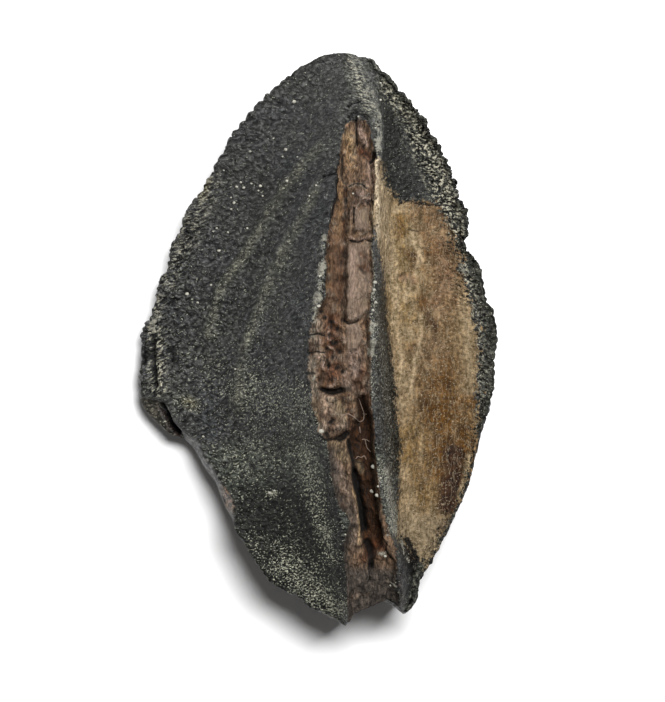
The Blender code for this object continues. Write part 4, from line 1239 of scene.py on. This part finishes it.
# what the finish reads at each point
floats = {
    "sway": sway,
    "inward": inward * np.where(isLeft, 1, 1.6),
    "finely": np.maximum(finely, 0.8 * rimHere),
    "comb": comb,
    "hollowEdge": hollowEdge,
    "coreEdge": coreEdge,
    "crust": crust,
    "speckle": speckle,
    "cutShadeAndFill": cutShadeAndFill,
    "grain": np.maximum(grain, 0.9 * np.clip(wrinkled, 0, 1)),
    "smooth": np.maximum.reduce([0.55 * plates, 0.7 * wall, 0.5 * stripe * inCore]),
}
colours = {"enamelTint": enamelTint, "dentineTint": dentineTint, "coreTint": coreTint}
crownPiece = bpy.data.objects.new("toothCrown", crownMesh(skin, floats, colours))
bpy.context.scene.collection.objects.link(crownPiece)
crownPiece.data.materials.append(fossilFinish())
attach(crownPiece, "root")
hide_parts("tooth")
print("crown mesh:", len(crownPiece.data.polygons), "faces")


dust = {
    # where grains of dust lie and how wide each is
    "grains": [
        (-1.58, 16.57, 0.3), (-2.14, 13.21, 0.28), (-2.42, 12.72, 0.16), (-1.37, 12.65, 0.14),
        (-4.73, 13.07, 0.2), (-6.55, 11.81, 0.14), (-5.36, 10.97, 0.2), (-5.64, 10.69, 0.22),
        (-5.15, 10.55, 0.24), (-4.59, 10.83, 0.18), (-3.96, 10.62, 0.26), (-4.1, 10.34, 0.16),
        (-3.89, 9.99, 0.18), (-2.14, 11.04, 0.24), (-6.06, 9.85, 0.18), (-5.85, 9.57, 0.26),
        (-5.99, 9.08, 0.18), (-7.11, 7.75, 0.18), (-4.94, 7.75, 0.18), (-6.2, 7.47, 0.16),
        (-7.3, 7.5, 0.16), (-6.9, 6.2, 0.26), (-0.04, 10.55, 0.2), (-0.53, 9.92, 0.16),
        (-9.14, 3.13, 0.3), (-8.37, 2.57, 0.22), (-7.46, 3.83, 0.2), (-3.05, 14.05, 0.14),
        (4.38, 16.64, 0.2), (4.38, 17.9, 0.18), (2.8, 15.35, 0.18), (4.02, 14.6, 0.16),
        (3.9, -8.86, 0.42), (4.24, -10.17, 0.22), (3.78, -10.57, 0.4), (4.16, -10.85, 0.36),
        (0.31, -6.36, 0.42), (-3.26, -10.73, 0.34), (-3.0, -10.6, 0.2), (4.3, -9.6, 0.2),
        (2.47, 10.03, 0.16), (-8.0, -6.9, 0.2), (-8.9, -5.1, 0.16), (-5.7, -2.1, 0.16),
        (4.0, 3.9, 0.3), (3.95, 3.3, 0.22), (3.95, 2.5, 0.26), (0.25, 4.3, 0.26), (0.1, 2.2, 0.3),
        (3.85, 1.9, 0.26), (4.7, -15.05, 0.26), (5.1, -17.1, 0.2),
    ],
    "strands": [
        [(1.49, -5.72), (1.78, -5.29), (2.13, -5.18), (2.56, -5.43), (2.92, -5.79), (3.2, -5.64),
         (3.24, -5.2), (2.99, -4.5), (2.85, -4.1)],
        [(3.1, -5.2), (3.45, -5.25)],
        [(2.92, -6.05), (2.98, -6.6)],
        [(3.06, -7), (3.3, -6.95), (3.42, -7.57), (3.7, -7.85)],
        [(3.3, -6.95), (3.65, -7.15)],
        [(2.63, -8.36), (2.8, -8.15), (3.05, -8.25), (3.25, -8.1), (3.4, -8.4)],
        [(0.9, 7.6), (1.1, 7.2)],
    ],
    "strandWidth": 0.07,
    "pale": (190, 187, 174),
    "fibre": (146, 126, 112),
}


def frontPoint(x, y):
    # the place on the crown's front nearest to x, y, and which way the surface faces there
    front = fields["isFront"][0]
    places = skin[:, front].reshape(-1, 3)
    nearest = np.argmin((places[:, 0] - x) ** 2 + (places[:, 1] - y) ** 2)
    return places[nearest], normals[:, front].reshape(-1, 3)[nearest]


def roundGrain(centre, width, salt):
    # one uneven grain as a closed ring mesh
    rings, around = 5, 8
    turns = np.arange(around) / around * 2 * math.pi
    points = []
    for k in range(1, rings):
        height = math.pi * k / rings
        ring = np.stack([np.cos(turns) * math.sin(height), np.sin(turns) * math.sin(height),
                         np.full(around, math.cos(height))], axis=1)
        points.append(ring)
    points = np.concatenate([*points, [(0, 0, 1), (0, 0, -1)]])
    points *= width / 2 * (1 + 0.35 * softNoise(points + salt, 0.9, 210))[:, None]
    points *= (1, 0.8, 0.6)
    faces = []
    for k in range(around):
        after = (k + 1) % around
        faces.append((k, after, (rings - 1) * around))
        for ring in range(rings - 2):
            upper, lower = ring * around, (ring + 1) * around
            faces.append((upper + k, lower + k, lower + after, upper + after))
        last = (rings - 2) * around
        faces.append((last + after, last + k, (rings - 1) * around + 1))
    faces = [tuple(reversed(face)) for face in faces]
    return points + centre, faces


def strandTube(path, width):
    # a fibre lying on the crown, as a thin closed tube
    knots = np.arange(len(path))
    along = np.linspace(0, len(path) - 1, 8 * (len(path) - 1) + 1)
    flat = np.stack([np.interp(along, knots, [place[k] for place in path]) for k in range(2)], axis=1)
    padded = np.concatenate([flat[:1]] * 2 + [flat] + [flat[-1:]] * 2)
    flat = np.stack([np.convolve(padded[:, k], np.ones(5) / 5, "valid") for k in range(2)], axis=1)
    heights = np.array([frontPoint(*place)[0][2] for place in flat])
    padded = np.concatenate([heights[:1]] * 4 + [heights] + [heights[-1:]] * 4)
    heights = np.maximum(np.convolve(padded, np.ones(9) / 9, "valid"), heights) + 0.08
    middle = np.concatenate([flat, heights[:, None]], axis=1)
    sides = 6
    turns = np.arange(sides) / sides * 2 * math.pi
    ahead = np.gradient(middle, axis=0)
    ahead /= np.linalg.norm(ahead, axis=1, keepdims=True)
    side = np.cross(ahead, (0, 0, 1))
    side /= np.linalg.norm(side, axis=1, keepdims=True)
    over = np.cross(side, ahead)
    taper = width / 2 * np.minimum(1, 0.35 + 4 * np.sin(math.pi * np.linspace(0, 1, len(middle))))
    rings = (middle[:, None] + taper[:, None, None] * (np.cos(turns)[None, :, None] * side[:, None]
             + np.sin(turns)[None, :, None] * over[:, None]))
    faces = []
    for first in range(0, (len(middle) - 1) * sides, sides):
        for k in range(sides):
            after = (k + 1) % sides
            faces.append((first + k, first + after, first + sides + after, first + sides + k))
    last = (len(middle) - 1) * sides
    faces += [tuple(range(sides))[::-1], tuple(last + k for k in range(sides))]
    faces = [tuple(reversed(face)) for face in faces]
    return rings.reshape(-1, 3), faces


def joined(parts):
    points, faces, first = [], [], 0
    for places, sides in parts:
        points.append(places)
        faces += [tuple(first + k for k in face) for face in sides]
        first += len(places)
    return np.concatenate(points), faces


def dustFinish(name, colour, unevenness):
    material, tree, shader, place = newFinish(name)
    uneven = eased(noise(place, (5, 5, 5), 2, 0.5), 0.3, 0.7, 1 - unevenness, 1 + unevenness)
    tree.links.new(scaled(paint(*colour), uneven), shader.inputs["Base Color"])
    shader.inputs["Roughness"].default_value = 0.85
    shader.inputs["Specular IOR Level"].default_value = 0.25
    height = {"Strength": 0.6, "Distance": 0.03 * mm, "Height": noise(place, (9, 9, 9), 2, 0.5)}
    tree.links.new(nodeAfter("ShaderNodeBump", height), shader.inputs["Normal"])
    return material


def addPiece(name, points, faces, material):
    mesh = bpy.data.meshes.new(name)
    mesh.from_pydata((insideBox(points) * mm).tolist(), [], faces)
    mesh.shade_smooth()
    mesh.materials.append(material)
    piece = bpy.data.objects.new(name, mesh)
    bpy.context.scene.collection.objects.link(piece)
    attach(piece, "root")


grains = []
for salt, (grainX, grainY, width) in enumerate(dust["grains"]):
    place, facing = frontPoint(grainX, grainY)
    grains.append(roundGrain(place + facing * width * 0.12, width, salt))
addPiece("dustGrains", *joined(grains), dustFinish("dust", dust["pale"], 0.25))
strandsMade = [strandTube(path, dust["strandWidth"]) for path in dust["strands"]]
addPiece("lint", *joined(strandsMade), dustFinish("lintFibre", dust["fibre"], 0.2))
print("dust and lint laid on")


studio = {
    "floorSize": 3000,
    "floorDrop": 0.02,
    "viewHeight": 49.14,  # how much the picture takes in from top to bottom, at the crown's margins
    "aim": (1.05, -0.86, 6.0),
    "cameraDistance": 400,
    "keyFrom": (67, 88, 380),
    "keySize": (164, 100),
    "keyPower": 2.15,
    "topFrom": (60, 270, 220),
    "topSize": (110, 110),
    "topPower": 0.8,
    "skyStrength": 0.1,
}


def stageFloor():
    half = studio["floorSize"] / 2 * mm
    mesh = bpy.data.meshes.new("floor")
    corners = [(-half, -half, 0), (half, -half, 0), (half, half, 0), (-half, half, 0)]
    mesh.from_pydata(corners, [], [(0, 1, 2, 3)])
    floor = bpy.data.objects.new("floor", mesh)
    floor.location.z = -studio["floorDrop"] * mm
    bpy.context.scene.collection.objects.link(floor)
    pale = bpy.data.materials.new("paleFloor")
    pale.use_nodes = True
    shader = pale.node_tree.nodes["Principled BSDF"]
    shader.inputs["Base Color"].default_value = (0.9, 0.9, 0.9, 1)
    shader.inputs["Roughness"].default_value = 0.9
    shader.inputs["Specular IOR Level"].default_value = 0.1
    mesh.materials.append(pale)


def lookAt(item, place, target):
    # turned to the target with its own x axis kept level
    item.location = Vector(place) * mm
    back = (Vector(place) - Vector(target)).normalized()
    side = Vector((0, 1, 0)).cross(back).normalized()
    item.rotation_euler = Matrix((side, back.cross(side), back)).transposed().to_euler()


def softLight(name, place, size, power):
    lamp = bpy.data.lights.new(name, "AREA")
    lamp.shape = "ELLIPSE"
    lamp.size = size[0] * mm
    lamp.size_y = size[1] * mm
    lamp.energy = power
    item = bpy.data.objects.new(name, lamp)
    bpy.context.scene.collection.objects.link(item)
    lookAt(item, place, (0, 0, 0))


def studioSetting():
    stageFloor()
    softLight("keyLight", studio["keyFrom"], studio["keySize"], studio["keyPower"])
    softLight("topLight", studio["topFrom"], studio["topSize"], studio["topPower"])
    world = bpy.data.worlds.new("paleRoom")
    world.use_nodes = True
    world.node_tree.nodes["Background"].inputs["Color"].default_value = (1, 1, 1, 1)
    world.node_tree.nodes["Background"].inputs["Strength"].default_value = studio["skyStrength"]
    scene = bpy.context.scene
    scene.world = world
    scene.view_settings.view_transform = "Standard"
    view = bpy.data.cameras.new("camera")
    view.sensor_width = 36
    view.lens = 36 * studio["cameraDistance"] / studio["viewHeight"]
    view.clip_start = 0.01
    view.clip_end = 10
    camera = bpy.data.objects.new("camera", view)
    aimX, aimY, aimZ = studio["aim"]
    camera.location = Vector((aimX, aimY, aimZ + studio["cameraDistance"])) * mm
    scene.collection.objects.link(camera)
    scene.camera = camera


studioSetting()
